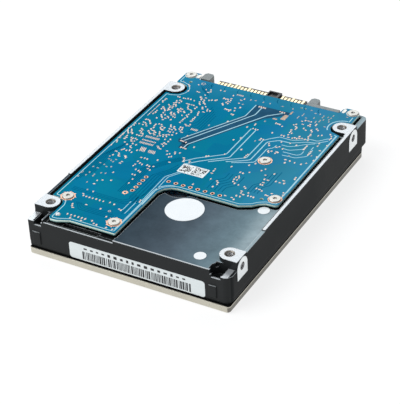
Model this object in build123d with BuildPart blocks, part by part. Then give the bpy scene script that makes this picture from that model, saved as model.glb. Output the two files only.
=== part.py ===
from build123d import *

import math
import os

# 2.5-inch enterprise hard disk drive, 15 mm high, serial-attached plug.
#
# Frame: the drive lies on its cover label with the circuit board up.
# X runs across the width (left is -X), Y runs from the label end (front) to the plug
# end (rear), Z runs from the cover label's outer face (z = 0) up to the bottom mounting
# face (z = 15). The origin is on the centre line, 47.9 mm behind the casting's front face.
# All sizes in millimetres, angles in degrees from +X.

os.makedirs("parts", exist_ok=True)

# ---------------------------------------------------------------- driving sizes
HALF_W = 69.85 / 2       # half width over the machined side pads
HALF_B = 34.80           # half width of the as-cast side faces
Y_FRONT = -47.9          # front face
Y_REAR = 48.0            # rear end of the casting
COVER_FRONT = Y_FRONT - 0.8   # the cover stands proud of the front face
FLANGE_X = 34.70         # half width of cover and lower flange
FLANGE_REAR = 44.80      # rear end of cover and lower flange
GASKET_IN = 0.55         # the gasket is set back from the rim, which leaves a groove
PLUG_WALL = 45.20        # wall that the plug stands against

Z_LABEL = 0.10           # top of the cover label
Z_COVER_IN = 1.00        # inner face of the cover
Z_COVER_TOP = 2.30       # rim of the cover
Z_GASKET_TOP = 2.85      # where the casting starts
Z_STEP = 4.40            # the lower flange is shorter than the body up to here
Z_CAVITY = 10.90         # ceiling of the sealed cavity
Z_RECESS = 11.90         # floor under the circuit board
Z_SHELF = 12.50          # lower shelf at the front left
Z_DECK = 13.40           # cast deck beside the board
Z_MOUNT = 15.0           # bottom mounting face
BOARD_BOTTOM, BOARD_TOP = 13.70, 14.50

# mounting holes
HOLE_X = 61.72 / 2
HOLE_Y_FRONT = -40.375
HOLE_Y_REAR = HOLE_Y_FRONT + 76.60
MOUNTS = [(side, y) for side in (-1, 1) for y in (HOLE_Y_FRONT, HOLE_Y_REAR)]
SIDE_HOLE_Z = Z_MOUNT - 3.0
M3_R = 1.25              # M3 thread, tapping radius
SIDE_DEPTH = 3.0         # side bores, which open into the bottom bores
MOUTH = 0.3              # countersink of the bottom bores
PAD_R = 3.0              # mounting pad round a bottom bore
SIDE_PAD_R = 3.05

# spindle and platters
SPINDLE = (0.0, -14.0)
PLATTER_R, PLATTER_BORE_R = 32.5, 10.0
PLATTERS = [(8.6, 9.4), (6.0, 6.8), (3.4, 4.2)]   # z spans, board side first
SPACER_R = 12.0
BRACKET_R = 6.0          # motor bracket and its bore in the casting

# actuator
PIVOT = (12.0, 24.0)
ARM_DIR = 199.1          # arm direction, parked
COIL_DIR = 50.0          # voice coil direction, parked

# sealed cavity: platter bore, actuator bay and the strip that joins them
CAVITY_R = 32.95
BAY = (-32.2, 32.2, 15.8, 43.5)        # x_min, x_max, y_min, y_max
BAY_FRONT = (-30.0, 30.0, 4.0, 20.0)

# screws and small openings, as (x, y)
BOARD_SCREWS = [
    (-28.2, -34.9), (-8.0, -40.8), (17.2, 8.6), (29.7, -9.3), (30.2, 46.4), (-30.6, 46.5),
]
COVER_SCREWS = [
    (side * x, y) for x, y in ((30.2, -44.6), (31.3, 41.9), (31.4, 12.5)) for side in (-1, 1)
]
POST_SCREWS = COVER_SCREWS[2:]         # these stand on posts in the cavity
POST_R = 1.9
SCREW_CLEAR_R = 1.0                    # clearance holes of cover and board screws
DOME, DOME_R = (-25.5, -44.6), 0.8     # locating dome at the front left of the board
BREATHER = (-20.0, 38.0)
LARGE_PORT = (6.95, -24.6)             # sealed openings of the casting
SMALL_PORTS = [(28.75, -14.8), (22.65, -43.2)]

# circuit board outline (x, y), clockwise from above, starting on the front edge
BOARD_PTS = [
    (-4.75, -45.7), (-20.5, -45.7), (-24.4, -47.3), (-26.5, -47.4), (-27.4, -46.5),
    (-27.4, -39.6), (-28.2, -37.6), (-30.2, -36.5), (-32.8, -36.4), (-32.8, 33.0),
    (-30.8, 32.6), (-28.4, 33.4), (-27.2, 35.4), (-27.2, 37.4), (-28.4, 39.4), (-30.6, 40.3),
    (-33.0, 40.4), (-33.0, 47.2), (-31.6, 48.6), (-27.7, 48.6), (-27.4, 45.8), (-26.2, 44.9),
    (25.9, 44.9), (26.2, 47.6), (27.2, 48.6), (31.0, 48.6), (32.3, 47.2), (32.3, 40.4),
    (30.5, 40.2), (28.5, 39.4), (27.2, 37.3), (27.2, 35.2), (28.5, 33.2), (30.6, 32.4),
    (32.05, 31.9), (32.05, -11.7), (31.4, -12.3), (28.3, -12.5), (26.4, -13.6), (24.9, -15.2),
    (21.3, -17.0), (0.2, -16.8), (-1.9, -17.3), (-3.7, -18.8), (-4.65, -20.9),
]

CUT = Mode.SUBTRACT
CUT_TOP = 16             # cuts from above start here, clear of the casting
COVER_CUT = (0, 3)       # z span of a cut right through the cover
BOARD_CUT = (13, 16)     # z span of a cut right through the board


# ---------------------------------------------------------------- helpers
def polar(centre, radius, degrees):
    """Point at a polar offset from a centre."""
    angle = math.radians(degrees)
    return (centre[0] + radius * math.cos(angle), centre[1] + radius * math.sin(angle))


def prism(points, z_low, z_high, mode=Mode.ADD, grow=0.0, round_r=0.0):
    """Closed polygon extruded into the active part."""
    with BuildSketch(Plane.XY.offset(z_low)) as outline:
        with BuildLine():
            Polyline(*points, close=True)
        make_face()
        if round_r:
            fillet(outline.vertices(), round_r)
        if grow:
            offset(amount=grow, kind=Kind.ARC)
    extrude(outline.sketch, amount=z_high - z_low, mode=mode)


def block(x_min, x_max, y_min, y_max, z_low, z_high, mode=Mode.ADD, round_r=0.0):
    """Upright block, with optional rounded upright corners."""
    with BuildSketch(Plane.XY.offset(z_low)) as outline:
        with Locations(((x_min + x_max) / 2, (y_min + y_max) / 2)):
            if round_r:
                RectangleRounded(x_max - x_min, y_max - y_min, round_r)
            else:
                Rectangle(x_max - x_min, y_max - y_min)
    extrude(outline.sketch, amount=z_high - z_low, mode=mode)


def plate(x_min, x_max, y_min, y_max, z_low, z_high, radii):
    """Block with its own corner radii: front left, front right, rear right, rear left."""
    corners = ((x_min, y_min), (x_max, y_min), (x_max, y_max), (x_min, y_max))
    with BuildSketch(Plane.XY.offset(z_low)) as outline:
        with Locations(((x_min + x_max) / 2, (y_min + y_max) / 2)):
            Rectangle(x_max - x_min, y_max - y_min)
        for (x, y), radius in zip(corners, radii):
            nearest = min(outline.vertices(), key=lambda v: (v.X - x) ** 2 + (v.Y - y) ** 2)
            fillet(nearest, radius)
    extrude(outline.sketch, amount=z_high - z_low)


def disc(centre, radius, z_low, z_high, mode=Mode.ADD):
    """Upright cylinder."""
    with BuildSketch(Plane.XY.offset(z_low)) as outline:
        with Locations(centre):
            Circle(radius)
    extrude(outline.sketch, amount=z_high - z_low, mode=mode)


def discs(centres, radius, z_low, z_high, mode=Mode.ADD):
    """The same upright cylinder at several places."""
    for centre in centres:
        disc(centre, radius, z_low, z_high, mode)


def ring(centre, r_in, r_out, z_low, z_high):
    """Upright tube."""
    with BuildSketch(Plane.XY.offset(z_low)) as outline:
        with Locations(centre):
            Circle(r_out)
            Circle(r_in, mode=CUT)
    extrude(outline.sketch, amount=z_high - z_low)


def sector(centre, r_in, r_out, start, end, z_low, z_high):
    """Annular sector with true arcs, between two angles."""
    mid = (start + end) / 2
    outer = [polar(centre, r_out, angle) for angle in (start, mid, end)]
    inner = [polar(centre, r_in, angle) for angle in (end, mid, start)]
    with BuildSketch(Plane.XY.offset(z_low)) as outline:
        with BuildLine():
            ThreePointArc(*outer)
            Line(outer[-1], inner[0])
            ThreePointArc(*inner)
            Line(inner[-1], outer[0])
        make_face()
    extrude(outline.sketch, amount=z_high - z_low)


def spoke(angle, distance, length, width, z_low, z_high, mode=Mode.ADD):
    """Block centred at a distance from the spindle, with its length along the radius."""
    with BuildSketch(Plane.XY.offset(z_low)) as outline:
        with Locations(Location((SPINDLE[0], SPINDLE[1], 0), (0, 0, angle))):
            with Locations((distance, 0)):
                Rectangle(length, width)
    extrude(outline.sketch, amount=z_high - z_low, mode=mode)


def torx(centre, z, radius, depth):
    """Six-lobed driver recess cut from height z; a negative depth cuts downwards."""
    lobes, steps = 6, 48
    points = []
    for i in range(steps):
        angle = 360 * i / steps
        reach = radius * (0.86 + 0.14 * math.cos(math.radians(lobes * angle)))
        points.append(polar(centre, reach, angle))
    with BuildSketch(Plane.XY.offset(z)) as outline:
        with BuildLine():
            Spline(*points, periodic=True)
        make_face()
    extrude(outline.sketch, amount=depth, mode=CUT)


def cut_cavity(z_low, z_high):
    """Cut the plan shape of the sealed cavity."""
    disc(SPINDLE, CAVITY_R, z_low, z_high, CUT)
    block(*BAY, z_low, z_high, CUT, round_r=2.0)
    block(*BAY_FRONT, z_low, z_high, CUT, round_r=1.5)


def save(builder, name):
    """Label a finished piece and write its STEP."""
    builder.part.label = name
    export_step(builder.part, f"parts/{name}.step")


# ================================================================ base casting
WALL_Z = 11.0            # foot of the walls and the dome under the board's edge
PAD_Z = 9.0              # foot of the mounting pads
DOME_TOP = BOARD_TOP + 0.1
CORNER_Y = -43.35        # rear end of the front corner pockets
LEDGE_Y = -47.2          # the pockets' deep parts end here, behind the front face

# x_min, x_max, y_min, y_max, z_high: machined rail and lower as-cast part, right then left
SIDE_RAILS = [
    (33.55, HALF_B, -25.6, 33.6, Z_MOUNT),
    (33.75, HALF_B, -37.6, -25.6, 14.6),
    (-HALF_B, -33.75, -24.6, 33.6, Z_MOUNT),
    (-HALF_B, -34.0, -37.6, -24.6, 14.6),
]
# cuts open at the top: x_min, x_max, y_min, y_max, z of the floor
REAR_CUTS = [
    (-27.4, 26.3, PLUG_WALL, Y_REAR + 1, 7.6),             # plug notch
    (-26.2, 25.9, 41.2, PLUG_WALL + 0.5, Z_RECESS),        # in front of the plug wall
    (-HALF_B - 1, -27.4, 39.6, Y_REAR + 1, 12.0),          # low rear left corner
]
BOARD_CUTS = [
    (31.0, 33.25, -11.2, 31.0, Z_RECESS),                  # along the right board edge
    (-29.0, -4.3, Y_FRONT - 1, -44.6, Z_SHELF),            # front left shelf
    (-23.2, -10.4, -47.0, -44.6, 11.4),                    # deeper pocket in the shelf
]
CORNER_CUTS = [
    (-36, -29.4, Y_FRONT - 1, CORNER_Y, 12.1),             # left corner
    (-32.4, -29.4, LEDGE_Y, CORNER_Y, 9.6),
    (-32.4, -29.9, Y_FRONT - 1, LEDGE_Y, 10.8),
    (28.2, 36, Y_FRONT - 1, CORNER_Y, 11.9),               # right corner
]
RIGHT_POCKET = [
    (29.0, CORNER_Y), (27.6, -45.0), (27.6, LEDGE_Y), (32.0, LEDGE_Y), (32.0, CORNER_Y),
]
FRONT_MARKS = [(-33.2, -30.5, 3.9, 8.4), (27.8, 30.3, 4.0, 8.2)]   # x span, z span

with BuildPart() as base_casting:
    # lower flange, seat of the gasket
    plate(-FLANGE_X, FLANGE_X, Y_FRONT, FLANGE_REAR, Z_GASKET_TOP, Z_STEP,
          radii=(0.5, 2.4, 1.2, 1.2))
    # body up to the deck: the front left corner is nearly sharp, the right ones are round
    plate(-HALF_B, HALF_B, Y_FRONT, Y_REAR, Z_STEP, Z_DECK, radii=(0.5, 2.4, 1.8, 1.0))
    for *plan, top in SIDE_RAILS:
        block(*plan, Z_DECK, top)
    for *plan, floor in REAR_CUTS:
        block(*plan, floor, CUT_TOP, CUT)
    # recess that follows the circuit board
    prism(BOARD_PTS, Z_RECESS, CUT_TOP, CUT, grow=0.75)
    for *plan, floor in BOARD_CUTS:
        block(*plan, floor, CUT_TOP, CUT)
    # low rib on the floor of the shelf pocket
    block(-17.6, -13.4, -46.75, -46.35, 11.4, 11.7)
    # front wall under the board edge, and rear wall under the right rear tab
    block(-29.0, -4.3, Y_FRONT, -47.1, WALL_Z, Z_SHELF)
    block(26.3, 32.9, 47.0, Y_REAR, WALL_Z, Z_DECK)
    # locating dome that stands through the board
    disc(DOME, DOME_R, WALL_Z, DOME_TOP)
    with BuildSketch(Plane.XY.offset(DOME_TOP)) as crown:
        with Locations(DOME):
            Circle(DOME_R)
    extrude(crown.sketch, amount=0.3, taper=42)
    # front corner pockets
    for *plan, floor in CORNER_CUTS:
        block(*plan, floor, CUT_TOP, CUT)
    prism(RIGHT_POCKET, 9.4, CUT_TOP, CUT)
    block(28.6, 31.7, Y_FRONT - 1, LEDGE_Y, 10.9, CUT_TOP, CUT)
    # bosses under the board screws
    discs(BOARD_SCREWS, 2.3, Z_RECESS - 0.4, BOARD_BOTTOM)
    # mounting pads, carried out to the side face
    for side, y in MOUNTS:
        disc((side * HOLE_X, y), PAD_R, PAD_Z, Z_MOUNT)
        x_ends = sorted((side * HOLE_X, side * HALF_B))
        block(*x_ends, y - PAD_R, y + PAD_R, PAD_Z, Z_MOUNT)
    # side pads: round at the top, flat at the bottom, proud of the side face
    for side, y in MOUNTS:
        with BuildSketch(Plane.YZ.offset(side * (HALF_B - 0.3))) as side_pad:
            with Locations((y, SIDE_HOLE_Z - 0.2)):
                Circle(SIDE_PAD_R)
            with Locations((y, SIDE_HOLE_Z - 1.95)):
                Rectangle(2 * SIDE_PAD_R, 3.5)
        extrude(side_pad.sketch, amount=side * (HALF_W - HALF_B + 0.3))
    cut_cavity(Z_GASKET_TOP - 1, Z_CAVITY)
    discs(POST_SCREWS, POST_R, Z_GASKET_TOP, Z_CAVITY + 0.2)
    # raised marks on the front face
    for left, right, low, high in FRONT_MARKS:
        block(left, right, Y_FRONT - 0.3, Y_FRONT + 0.3, low, high)
    # motor bore, flex header opening, openings under the seals
    disc(SPINDLE, BRACKET_R, Z_CAVITY - 1, CUT_TOP, CUT)
    block(25.0, 30.0, 12.0, 21.0, Z_CAVITY - 1, 12.8, CUT, round_r=1.0)
    disc(LARGE_PORT, 4.2, Z_CAVITY - 1, CUT_TOP, CUT)
    for port, floor in zip(SMALL_PORTS, (Z_CAVITY - 1, 11.0)):
        disc(port, 0.9, floor, CUT_TOP, CUT)
    # threads
    discs(BOARD_SCREWS, 0.8, 11.7, CUT_TOP, CUT)
    discs(COVER_SCREWS, 0.85, Z_GASKET_TOP - 1, 7.0, CUT)
    for side, y in MOUNTS:
        disc((side * HOLE_X, y), M3_R, 11.8, CUT_TOP, CUT)
        with BuildSketch(Plane.YZ.offset(side * (HALF_W - SIDE_DEPTH))) as side_bore:
            with Locations((y, SIDE_HOLE_Z)):
                Circle(M3_R)
        extrude(side_bore.sketch, amount=side * (SIDE_DEPTH + 1), mode=CUT)
        # countersunk mouth of the bottom bore
        with BuildSketch(Plane.XY.offset(Z_MOUNT)) as mouth:
            with Locations((side * HOLE_X, y)):
                Circle(M3_R + MOUTH)
        extrude(mouth.sketch, amount=-MOUTH, taper=45, mode=CUT)
save(base_casting, "base_casting")

# ================================================================ cover side
COVER_SEAT_Z = 0.9       # cover screw heads bear here
SHAFT_SEAT_Z = 0.55      # shaft screw heads bear here
COVER_HEAD_Z = 0.2       # outer face of the cover screw heads
SHAFT_BORE_R, SHAFT_BORE_Z = 0.6, 4.0   # threads in the ends of both shafts

with BuildPart() as top_cover:
    plate(-FLANGE_X, FLANGE_X, COVER_FRONT, FLANGE_REAR, Z_LABEL, Z_COVER_TOP,
          radii=(1.0, 1.2, 1.4, 1.4))
    outer_face = top_cover.faces().sort_by(Axis.Z)[0]
    fillet(outer_face.edges(), 0.5)
    cut_cavity(Z_COVER_IN, 3)
    discs(POST_SCREWS, POST_R, Z_COVER_IN - 0.2, Z_COVER_TOP)
    # screw seats
    for place in COVER_SCREWS:
        disc(place, 1.9, 0, COVER_SEAT_Z, CUT)
        disc(place, SCREW_CLEAR_R, *COVER_CUT, CUT)
    for place in (SPINDLE, PIVOT):
        disc(place, 1.6, 0, SHAFT_SEAT_Z, CUT)
        disc(place, 0.7, *COVER_CUT, CUT)
    disc(BREATHER, 0.6, *COVER_CUT, CUT)
save(top_cover, "top_cover")

with BuildPart() as cover_label:
    block(-29.3, 29.3, -42.6, 39.8, 0, Z_LABEL, round_r=2.0)
    disc(BREATHER, 1.2, -1, 1, CUT)
save(cover_label, "cover_label")

with BuildPart() as cover_gasket:
    plate(-FLANGE_X + GASKET_IN, FLANGE_X - GASKET_IN, Y_FRONT + 0.4, FLANGE_REAR - GASKET_IN,
          Z_COVER_TOP, Z_GASKET_TOP, radii=(1.0, 1.6, 1.4, 1.4))
    cut_cavity(2, 3)
    discs(POST_SCREWS, POST_R, Z_COVER_TOP, Z_GASKET_TOP)
    discs(COVER_SCREWS, SCREW_CLEAR_R, 2, 3, CUT)
save(cover_gasket, "cover_gasket")

with BuildPart() as cover_screws:
    for place in COVER_SCREWS:
        disc(place, 1.75, COVER_HEAD_Z, COVER_SEAT_Z)
        disc(place, 0.84, COVER_SEAT_Z, 6.4)
    for place in COVER_SCREWS:
        torx(place, COVER_HEAD_Z, 0.75, 0.45)
save(cover_screws, "cover_screws")

with BuildPart() as shaft_screws:
    for place in (SPINDLE, PIVOT):
        disc(place, 1.45, 0.12, SHAFT_SEAT_Z)
        disc(place, SHAFT_BORE_R, SHAFT_SEAT_Z, 3.4)
save(shaft_screws, "shaft_screws")

# ================================================================ circuit board
VIA_ROWS = [(-4.3 + 2.57 * i, -14.7) for i in range(8)]
VIA_ROWS += [(-11.9, -15.5 - 2.07 * i) for i in range(5)]
BOARD_HEAD_Z = BOARD_TOP + 0.4

with BuildPart() as circuit_board:
    prism(BOARD_PTS, BOARD_BOTTOM, BOARD_TOP, round_r=0.35)
    discs(BOARD_SCREWS, SCREW_CLEAR_R, *BOARD_CUT, CUT)
    discs(VIA_ROWS, 0.4, *BOARD_CUT, CUT)
    disc(DOME, DOME_R + 0.1, *BOARD_CUT, CUT)
    discs([(-28.5, 42.2), (26.0, -10.9)], 0.6, *BOARD_CUT, CUT)
    discs([(13.4, 42.5), (14.8, 42.5)], 0.4, *BOARD_CUT, CUT)
save(circuit_board, "circuit_board")

with BuildPart() as board_screws:
    for place in BOARD_SCREWS:
        disc(place, 1.9, BOARD_TOP, BOARD_HEAD_Z)
        disc(place, 0.79, 11.9, BOARD_TOP)
    head_rims = board_screws.edges().filter_by(GeomType.CIRCLE).group_by(Axis.Z)[-1]
    chamfer(head_rims, 0.15)
    for place in BOARD_SCREWS:
        torx(place, BOARD_HEAD_Z, 0.7, -0.3)
save(board_screws, "board_screws")

# chips under the board: name, (x_min, x_max, y_min, y_max, z_low), chamfer
CHIPS = [
    ("controller_chip", (-28.5, -15.5, -1.0, 12.0, 12.6), 0.15),
    ("memory_chip", (-29.0, -19.0, 17.0, 28.0, 12.7), 0.12),
    ("motor_driver_chip", (14.0, 22.0, 17.0, 25.0, 12.8), 0.12),
]
for name, box, bevel in CHIPS:
    with BuildPart() as chip:
        block(*box, BOARD_BOTTOM)
        chamfer(chip.faces().sort_by(Axis.Z)[0].edges(), bevel)
    save(chip, name)

with BuildPart() as flash_chips:
    block(-8.5, -3.5, 31.0, 35.5, 12.5, BOARD_BOTTOM)
    block(20.5, 25.0, -6.0, -1.0, 12.5, BOARD_BOTTOM)
save(flash_chips, "flash_chips")

CAPACITORS = [
    (16, 32), (18.5, 32), (21, 32), (23.5, 28), (23.5, 31), (10, 12), (-12, 30), (-12, 27),
    (-24, -10), (-21.5, -10), (-19, -10), (-24, -14), (24, 5), (24, 8), (8, 31),
    (-10, -30), (-14, -30),
]
with BuildPart() as board_capacitors:
    for x, y in CAPACITORS:
        block(x - 0.6, x + 0.6, y - 1.0, y + 1.0, 12.9, BOARD_BOTTOM)
save(board_capacitors, "board_capacitors")

INDUCTORS = [(10.5, 20.0), (10.5, 26.0), (-25.0, -21.0)]
with BuildPart() as surge_inductors:
    for x, y in INDUCTORS:
        block(x - 1.9, x + 1.9, y - 1.9, y + 1.9, 12.3, BOARD_BOTTOM, round_r=0.8)
save(surge_inductors, "surge_inductors")

with BuildPart() as board_insulator:
    block(-31.5, 23.5, -13.5, 39.5, Z_RECESS, Z_RECESS + 0.2, round_r=1.5)
    disc(BOARD_SCREWS[2], 3.0, 11, 13, CUT)
    disc((-HOLE_X, HOLE_Y_REAR), 4.6, 11, 13, CUT)
    disc(SPINDLE, BRACKET_R + 0.6, 11, 13, CUT)
save(board_insulator, "board_insulator")

# ================================================================ serial plug
PLUG_FRONT = PLUG_WALL + 0.05
PLUG_FACE = 46.3         # tongue and guide posts stand out rearwards from here
TONGUE_X = (-21.4, 11.9)
TONGUE_Z = 12.65         # contact face of the tongue
TONGUE_UNDER = TONGUE_Z - 1.2
KEY_LEFT, KEY_RIGHT = -2.2, 2.4
GUIDE_POSTS = [(-27.0, -23.5), (13.6, 16.8)]   # x spans

with BuildPart() as plug_housing:
    # body under and behind the board edge
    block(-27.2, 25.6, PLUG_FRONT, PLUG_FACE, 8.4, 13.2)
    block(-25.6, 25.2, 41.6, PLUG_FRONT, 12.2, BOARD_BOTTOM - 0.1)
    # rib from the right guide post out to the right
    block(13.6, 25.4, PLUG_FRONT, 46.9, 11.8, 14.3)
    for x_span in GUIDE_POSTS:
        block(*x_span, PLUG_FACE, 50.5, 9.6, 14.2)
    post_tips = plug_housing.edges().filter_by(Axis.Z).group_by(Axis.Y)[-1]
    chamfer(post_tips, 0.8)
    # tongue, and the hollow key on it
    block(*TONGUE_X, PLUG_FACE, 50.0, TONGUE_UNDER, TONGUE_Z)
    block(KEY_LEFT, KEY_RIGHT, PLUG_FACE, 50.2, TONGUE_Z, 13.4)
    block(KEY_LEFT + 0.5, KEY_RIGHT - 0.9, 46.9, 49.6, TONGUE_Z + 0.1, 14, CUT)
save(plug_housing, "plug_housing")

CONTACT_PITCH, UNDER_PITCH = 1.27, 0.8
CONTACT_FRONT, CONTACT_REAR, LONG_REAR = PLUG_FACE + 0.05, 49.2, 49.7
# rows on the contact face: x of the first contact, count, indices of the long ones
CONTACT_ROWS = [(-20.85, 15, (3, 5, 6, 9)), (3.28, 7, (0, 3, 6))]
with BuildPart() as plug_contacts:
    for first_x, count, long_ones in CONTACT_ROWS:
        for i in range(count):
            x = first_x + CONTACT_PITCH * i
            rear = LONG_REAR if i in long_ones else CONTACT_REAR
            block(x - 0.42, x + 0.42, CONTACT_FRONT, rear, TONGUE_Z, TONGUE_Z + 0.1)
    # narrow row on the tongue's lower face
    for i in range(7):
        x = -2.6 + UNDER_PITCH * i
        block(x - 0.22, x + 0.22, CONTACT_FRONT, CONTACT_REAR, TONGUE_UNDER - 0.1, TONGUE_UNDER)
save(plug_contacts, "plug_contacts")

# ================================================================ labels and seals
LABEL_T, SEAL_T = 0.08, 0.12

with BuildPart() as serial_label:
    with BuildSketch(Plane.XZ.offset(-Y_FRONT)) as label_outline:
        with Locations((3.2, 5.65)):
            RectangleRounded(46.6, 5.6, 0.9)
    extrude(label_outline.sketch, amount=LABEL_T)
save(serial_label, "serial_label")

with BuildPart() as port_seal:
    disc(LARGE_PORT, 6.05, Z_DECK, Z_DECK + SEAL_T)
save(port_seal, "port_seal")

with BuildPart() as hole_seals:
    discs(SMALL_PORTS, 1.85, Z_DECK, Z_DECK + SEAL_T)
save(hole_seals, "hole_seals")

with BuildPart() as board_label:
    block(-5.0, 4.3, -8.6, -3.7, BOARD_TOP, BOARD_TOP + LABEL_T, round_r=0.3)
save(board_label, "board_label")

# ================================================================ spindle motor, fixed side
SPINDLE_SHAFT_R = 1.5
STATOR_R = 3.9           # bore of the stator core, on the bracket's tube
STATOR_Z = (6.6, 8.6)
TEETH, TOOTH_W = 9, 0.9
TOOTH_PITCH = 360 // TEETH

with BuildPart() as motor_bracket:
    disc(SPINDLE, BRACKET_R, Z_CAVITY, Z_RECESS)
    ring(SPINDLE, 3.4, STATOR_R, 6.4, Z_CAVITY)
    disc(SPINDLE, SPINDLE_SHAFT_R, 10, 13, CUT)
save(motor_bracket, "motor_bracket")

with BuildPart() as spindle_shaft:
    disc(SPINDLE, SPINDLE_SHAFT_R, Z_COVER_IN, Z_RECESS)
    disc(SPINDLE, SHAFT_BORE_R, 0, SHAFT_BORE_Z, CUT)
save(spindle_shaft, "spindle_shaft")

with BuildPart() as stator_core:
    ring(SPINDLE, STATOR_R, 5.0, *STATOR_Z)
    for i in range(TEETH):
        angle = TOOTH_PITCH * i
        spoke(angle, 5.9, 2.4, TOOTH_W, *STATOR_Z)
        sector(SPINDLE, 6.9, 7.7, angle - 15, angle + 15, *STATOR_Z)
save(stator_core, "stator_core")

with BuildPart() as stator_windings:
    for i in range(TEETH):
        spoke(TOOTH_PITCH * i, 5.98, 1.5, 2.1, 5.9, 9.3)
        spoke(TOOTH_PITCH * i, 5.98, 3.0, TOOTH_W, *STATOR_Z, CUT)
save(stator_windings, "stator_windings")

# ================================================================ spindle motor, turning side
HUB_R, HUB_BORE_R, SLEEVE_R = 9.97, 9.0, 3.2
HUB_LOW, HUB_FLOOR, HUB_FLANGE = 3.5, 5.0, 9.4
CLAMP_SCREWS = [polar(SPINDLE, 6.6, 60 * i) for i in range(6)]
CLAMP_SEAT_Z = 2.9       # clamp screw heads bear here

with BuildPart() as spindle_hub:
    ring(SPINDLE, SLEEVE_R, HUB_R, HUB_LOW, HUB_FLOOR)
    ring(SPINDLE, HUB_BORE_R, HUB_R, HUB_FLOOR, HUB_FLANGE)
    ring(SPINDLE, HUB_BORE_R, SPACER_R, HUB_FLANGE, 9.9)
    discs(CLAMP_SCREWS, 0.6, 3, 6, CUT)
save(spindle_hub, "spindle_hub")

with BuildPart() as bearing_sleeve:
    ring(SPINDLE, SPINDLE_SHAFT_R + 0.03, SLEEVE_R, HUB_LOW, 10.0)
save(bearing_sleeve, "bearing_sleeve")

with BuildPart() as rotor_magnet:
    ring(SPINDLE, 8.0, HUB_BORE_R, 5.6, HUB_FLANGE)
save(rotor_magnet, "rotor_magnet")

for number, z_span in enumerate(PLATTERS, 1):
    with BuildPart() as platter:
        ring(SPINDLE, PLATTER_BORE_R, PLATTER_R, *z_span)
        rims = platter.edges().filter_by(GeomType.CIRCLE).sort_by(SortBy.RADIUS)[-2:]
        chamfer(rims, 0.12)
    save(platter, f"platter_{number}")

with BuildPart() as platter_spacers:
    for upper, lower in zip(PLATTERS, PLATTERS[1:]):
        ring(SPINDLE, PLATTER_BORE_R, SPACER_R, lower[1], upper[0])
save(platter_spacers, "platter_spacers")

with BuildPart() as disk_clamp:
    ring(SPINDLE, 3.6, 12.2, 2.3, 3.4)
    low_rims = disk_clamp.edges().filter_by(GeomType.CIRCLE).group_by(Axis.Z)[0]
    chamfer(low_rims.sort_by(SortBy.RADIUS)[-1], 0.3)
    for i, place in enumerate(CLAMP_SCREWS):
        disc(place, 1.35, 2, CLAMP_SEAT_Z, CUT)
        disc(place, 0.7, 2, 4, CUT)
        disc(polar(SPINDLE, 9.9, 60 * i + 30), 0.7, 2, 4, CUT)
save(disk_clamp, "disk_clamp")

with BuildPart() as clamp_screws:
    for place in CLAMP_SCREWS:
        disc(place, 1.25, 2.35, CLAMP_SEAT_Z)
        disc(place, 0.59, CLAMP_SEAT_Z, 5.0)
save(clamp_screws, "clamp_screws")

# ================================================================ actuator
# z spans, from the board side towards the cover
ARMS = [(9.85, 10.55), (7.25, 8.15), (4.65, 5.55), (2.15, 2.95)]
BEAMS = [(9.75, 9.85), (8.15, 8.25), (7.15, 7.25), (5.55, 5.65), (4.55, 4.65), (2.95, 3.05)]
SLIDERS = [(9.42, 9.75), (8.25, 8.58), (6.82, 7.15), (5.65, 5.98), (4.22, 4.55), (3.05, 3.38)]
BEARINGS = [(8.9, 10.3), (2.5, 3.9)]
TAIL_Z = (5.6, 7.2)      # arm nose, coil frame and shock latch

# half outlines (distance from the pivot along the arm, half width)
ARM_HALF = [(0, 5.4), (6, 5.2), (22.5, 2.4), (24.5, 1.9)]
WINDOW_HALF = [(9.5, 2.9), (18.5, 1.2)]
BEAM_HALF = [(20.6, 1.7), (26.0, 1.9), (35.0, 0.7), (38.2, 0.35)]
SLIDER_HALF = [(35.9, 0.35), (36.9, 0.35)]
SWAGE = 22.6             # distance of the suspension hole from the pivot

ARM_BODY_R, ARM_BORE_R = 6.2, 4.7
OUTER_RING = (3.6, 4.2)  # radii of the pivot bearing rings
INNER_RING = (2.0, 2.6)
PREAMP_BOARD_R = 6.5
ARM_U = polar((0, 0), 1, ARM_DIR)   # unit vector along the parked arm


def along(reach, aside):
    """Point at a reach from the pivot along the parked arm, and aside to its left."""
    return (PIVOT[0] + reach * ARM_U[0] - aside * ARM_U[1],
            PIVOT[1] + reach * ARM_U[1] + aside * ARM_U[0])


def both_sides(half):
    """Closed outline from a half outline, mirrored about the arm's centre line."""
    left = [along(reach, width) for reach, width in half]
    return left + [along(reach, -width) for reach, width in reversed(half)]


with BuildPart() as actuator_arm:
    disc(PIVOT, ARM_BODY_R, ARMS[-1][0], ARMS[0][1])
    for low, high in ARMS:
        prism(both_sides(ARM_HALF), low, high)
        prism(both_sides(WINDOW_HALF), low - 0.1, high + 0.1, CUT, round_r=0.6)
        disc(along(SWAGE, 0), 0.9, low - 0.1, high + 0.1, CUT)
    # nose that the latch can catch
    sector(PIVOT, 5.8, 9.7, 131, 138.5, *TAIL_Z)
    disc(PIVOT, ARM_BORE_R, 0, 12, CUT)
save(actuator_arm, "actuator_arm")

with BuildPart() as pivot_sleeve:
    ring(PIVOT, OUTER_RING[1], ARM_BORE_R, 2.3, 10.4)
save(pivot_sleeve, "pivot_sleeve")

with BuildPart() as pivot_shaft:
    disc(PIVOT, INNER_RING[0], Z_COVER_IN, Z_CAVITY)
    disc(PIVOT, INNER_RING[1], 10.45, Z_CAVITY)
    disc(PIVOT, SHAFT_BORE_R, 0, SHAFT_BORE_Z, CUT)
save(pivot_shaft, "pivot_shaft")

for name, radii in (("pivot_inner_rings", INNER_RING), ("pivot_outer_rings", OUTER_RING)):
    with BuildPart() as bearing_rings:
        for z_span in BEARINGS:
            ring(PIVOT, *radii, *z_span)
    save(bearing_rings, name)

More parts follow.
